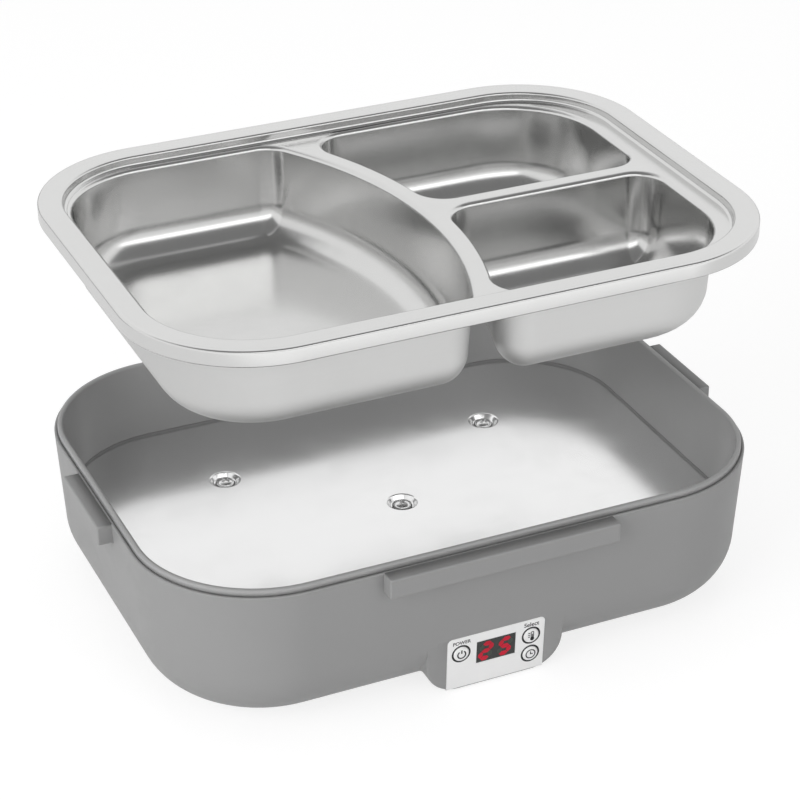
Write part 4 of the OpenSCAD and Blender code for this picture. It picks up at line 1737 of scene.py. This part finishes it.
@dataclass(frozen=True)
class Card:
    """A glowing card that only reflections see."""

    name: str
    centre: Triple  # in metres
    across: Triple  # half of its width, as a direction
    up: Triple  # half of its height, as a direction
    shade: float

    def stand(self) -> None:
        """Stands the card in the studio."""
        centre, across, up = Vector(self.centre), Vector(self.across), Vector(self.up)
        corners = [centre - across - up, centre + across - up]
        corners += [centre + across + up, centre - across + up]
        draft = Draft()
        draft.cap(draft.ring([c / MM for c in corners]))
        card = linked(self.name, draft.data(self.name))
        material = bpy.data.materials.new(self.name)
        s = Sketch.empty(material)
        s.node("ShaderNodeOutputMaterial", Surface=s.glow(self.shade))
        card.data.materials.append(material)
        card.visible_camera = False
        card.visible_diffuse = False
        card.visible_shadow = False
        card.visible_transmission = False


@dataclass
class Studio:
    """Floor, light and camera."""

    azimuth: float = -24.258
    elevation: float = 29.124
    roll: float = -0.173
    distance: float = 0.96741  # from the target, in metres
    target: Triple = (0.009034, 0.016902, 0.0645)
    lens: float = 109.812  # for a 36 mm sensor
    aim: Triple = (0.0, 0.0, 0.08)  # of the lamps
    floor_size: float = 4000.0  # half of a side
    floor_level: float = -0.05
    floor_grid: int = 8  # squares along a side

    def build(self) -> None:
        """Makes the whole studio."""
        self.camera()
        self.floor()
        self.world()
        for card in (
            Card("front_card", (0.5, -1.6, 1.3), (1.7, 0.0, 0.0), (0.0, 0.0, 0.27), 1.9),
            Card("low_card", (0.5, -1.65, 0.62), (1.7, 0.0, 0.0), (0.0, 0.0, 0.38), 0.92),
            Card("top_card", (0.2, -0.7, 1.75), (1.8, 0.0, 0.0), (0.0, 1.0, 0.0), 0.23),
            Card("back_card", (0.2, 0.65, 1.75), (1.8, 0.0, 0.0), (0.0, 0.35, 0.0), 0.55),
            Card("lip_card", (0.1, 0.3, 0.176), (0.45, 0.0, 0.0), (0.0, 0.0, 0.016), 0.55),
            Card("horizon_card", (0.3, 1.6, 0.2), (2.7, 0.0, 0.0), (0.0, 0.0, 0.2), 0.3),
            Card("floor_card", (0.2, -0.78, 0.001), (1.2, 0.0, 0.0), (0.0, 0.44, 0.0), 1.25),
        ):
            card.stand()
        for lamp in (
            Lamp("left_softbox", (-1.5, -0.5, 0.75), (1.4, 1.2), 18.5),
            Lamp("front_softbox", (0.35, -1.7, 0.75), (1.6, 1.0), 9.0),
            Lamp("top_softbox", (0.1, 0.3, 1.7), (1.2, 1.0), 5.0),
        ):
            lamp.hang(Vector(self.aim))
        bpy.context.scene.view_settings.view_transform = "Standard"

    def camera(self) -> None:
        """Places the camera."""
        a, e, t = (math.radians(v) for v in (self.azimuth, self.elevation, self.roll))
        back = Vector((math.sin(a) * math.cos(e), -math.cos(a) * math.cos(e), math.sin(e)))
        right = (-back).cross(UP).normalized()
        up = right.cross(-back)
        rolled_right = math.cos(t) * right + math.sin(t) * up
        rolled_up = math.cos(t) * up - math.sin(t) * right
        turn = Matrix((rolled_right, rolled_up, back)).transposed().to_4x4()
        data = bpy.data.cameras.new("camera")
        data.sensor_width = 36.0
        data.lens = self.lens
        data.clip_start, data.clip_end = 0.01, 50.0
        camera = linked("camera", data)
        place = Vector(self.target) + back * self.distance
        camera.matrix_world = Matrix.Translation(place) @ turn
        bpy.context.scene.camera = camera

    def floor(self) -> None:
        """Lays the pale floor, which keeps the part's shadow."""
        size, grid, level = self.floor_size, self.floor_grid, self.floor_level
        places = [size * (i / grid * 2 - 1) for i in range(grid + 1)]
        draft = Draft()
        draft.loft([lifted([(x, y) for x in places], level) for y in places], closed=False)
        floor = linked("floor", draft.data("floor"))
        material = bpy.data.materials.new("pale floor")
        s = Sketch.empty(material)
        camera, mirrored = s.rays()
        seen = s.sum("MAXIMUM", camera, mirrored)
        shade = s.sum("SUBTRACT", 0.82, s.sum("MULTIPLY", seen, 0.52))
        tint = s.node("ShaderNodeCombineColor", Red=shade, Green=shade, Blue=shade).outputs[0]
        matt = s.node("ShaderNodeBsdfDiffuse", Color=tint).outputs[0]
        light = s.sum("ADD", s.sum("MULTIPLY", camera, 0.78), s.sum("MULTIPLY", mirrored, 0.6))
        both = s.node("ShaderNodeAddShader", _0=matt, _1=s.glow(light)).outputs[0]
        s.node("ShaderNodeOutputMaterial", Surface=both)
        floor.data.materials.append(material)

    def world(self) -> None:
        """Sets a white background and an even, softer light for everything else."""
        world = bpy.data.worlds.new("studio")
        bpy.context.scene.world = world
        s = Sketch.empty(world)
        seen = s.sum("MAXIMUM", *s.rays())
        strength = s.sum("ADD", s.sum("MULTIPLY", seen, 0.6), 0.4)
        sky = s.node("ShaderNodeBackground", Color=WHITE, Strength=strength).outputs[0]
        s.node("ShaderNodeOutputWorld", Surface=sky)


# ---- main


def main() -> None:
    """Builds every part of the model in order."""
    logging.basicConfig(level=logging.INFO, format="%(name)s: %(message)s")
    Studio().build()
    effects = Effects()
    finishes = {key: finish.build(effects) for key, finish in FINISHES.items()}
    base = BaseSizes()
    inside = InsideParts(finishes)
    inside.dress()
    inside.detail()
    BaseShell(base, finishes["shell_plastic"]).build()
    Collar(base, finishes["collar_plastic"]).build()
    HeatingPan(base, finishes["pan_steel"], finishes["screw_steel"]).build()
    ControlPanel(PadFrame(base), finishes).build()
    FoodTray(base, finishes["tray_steel"], finishes["tray_back"]).build()


if __name__ == "__main__":
    main()
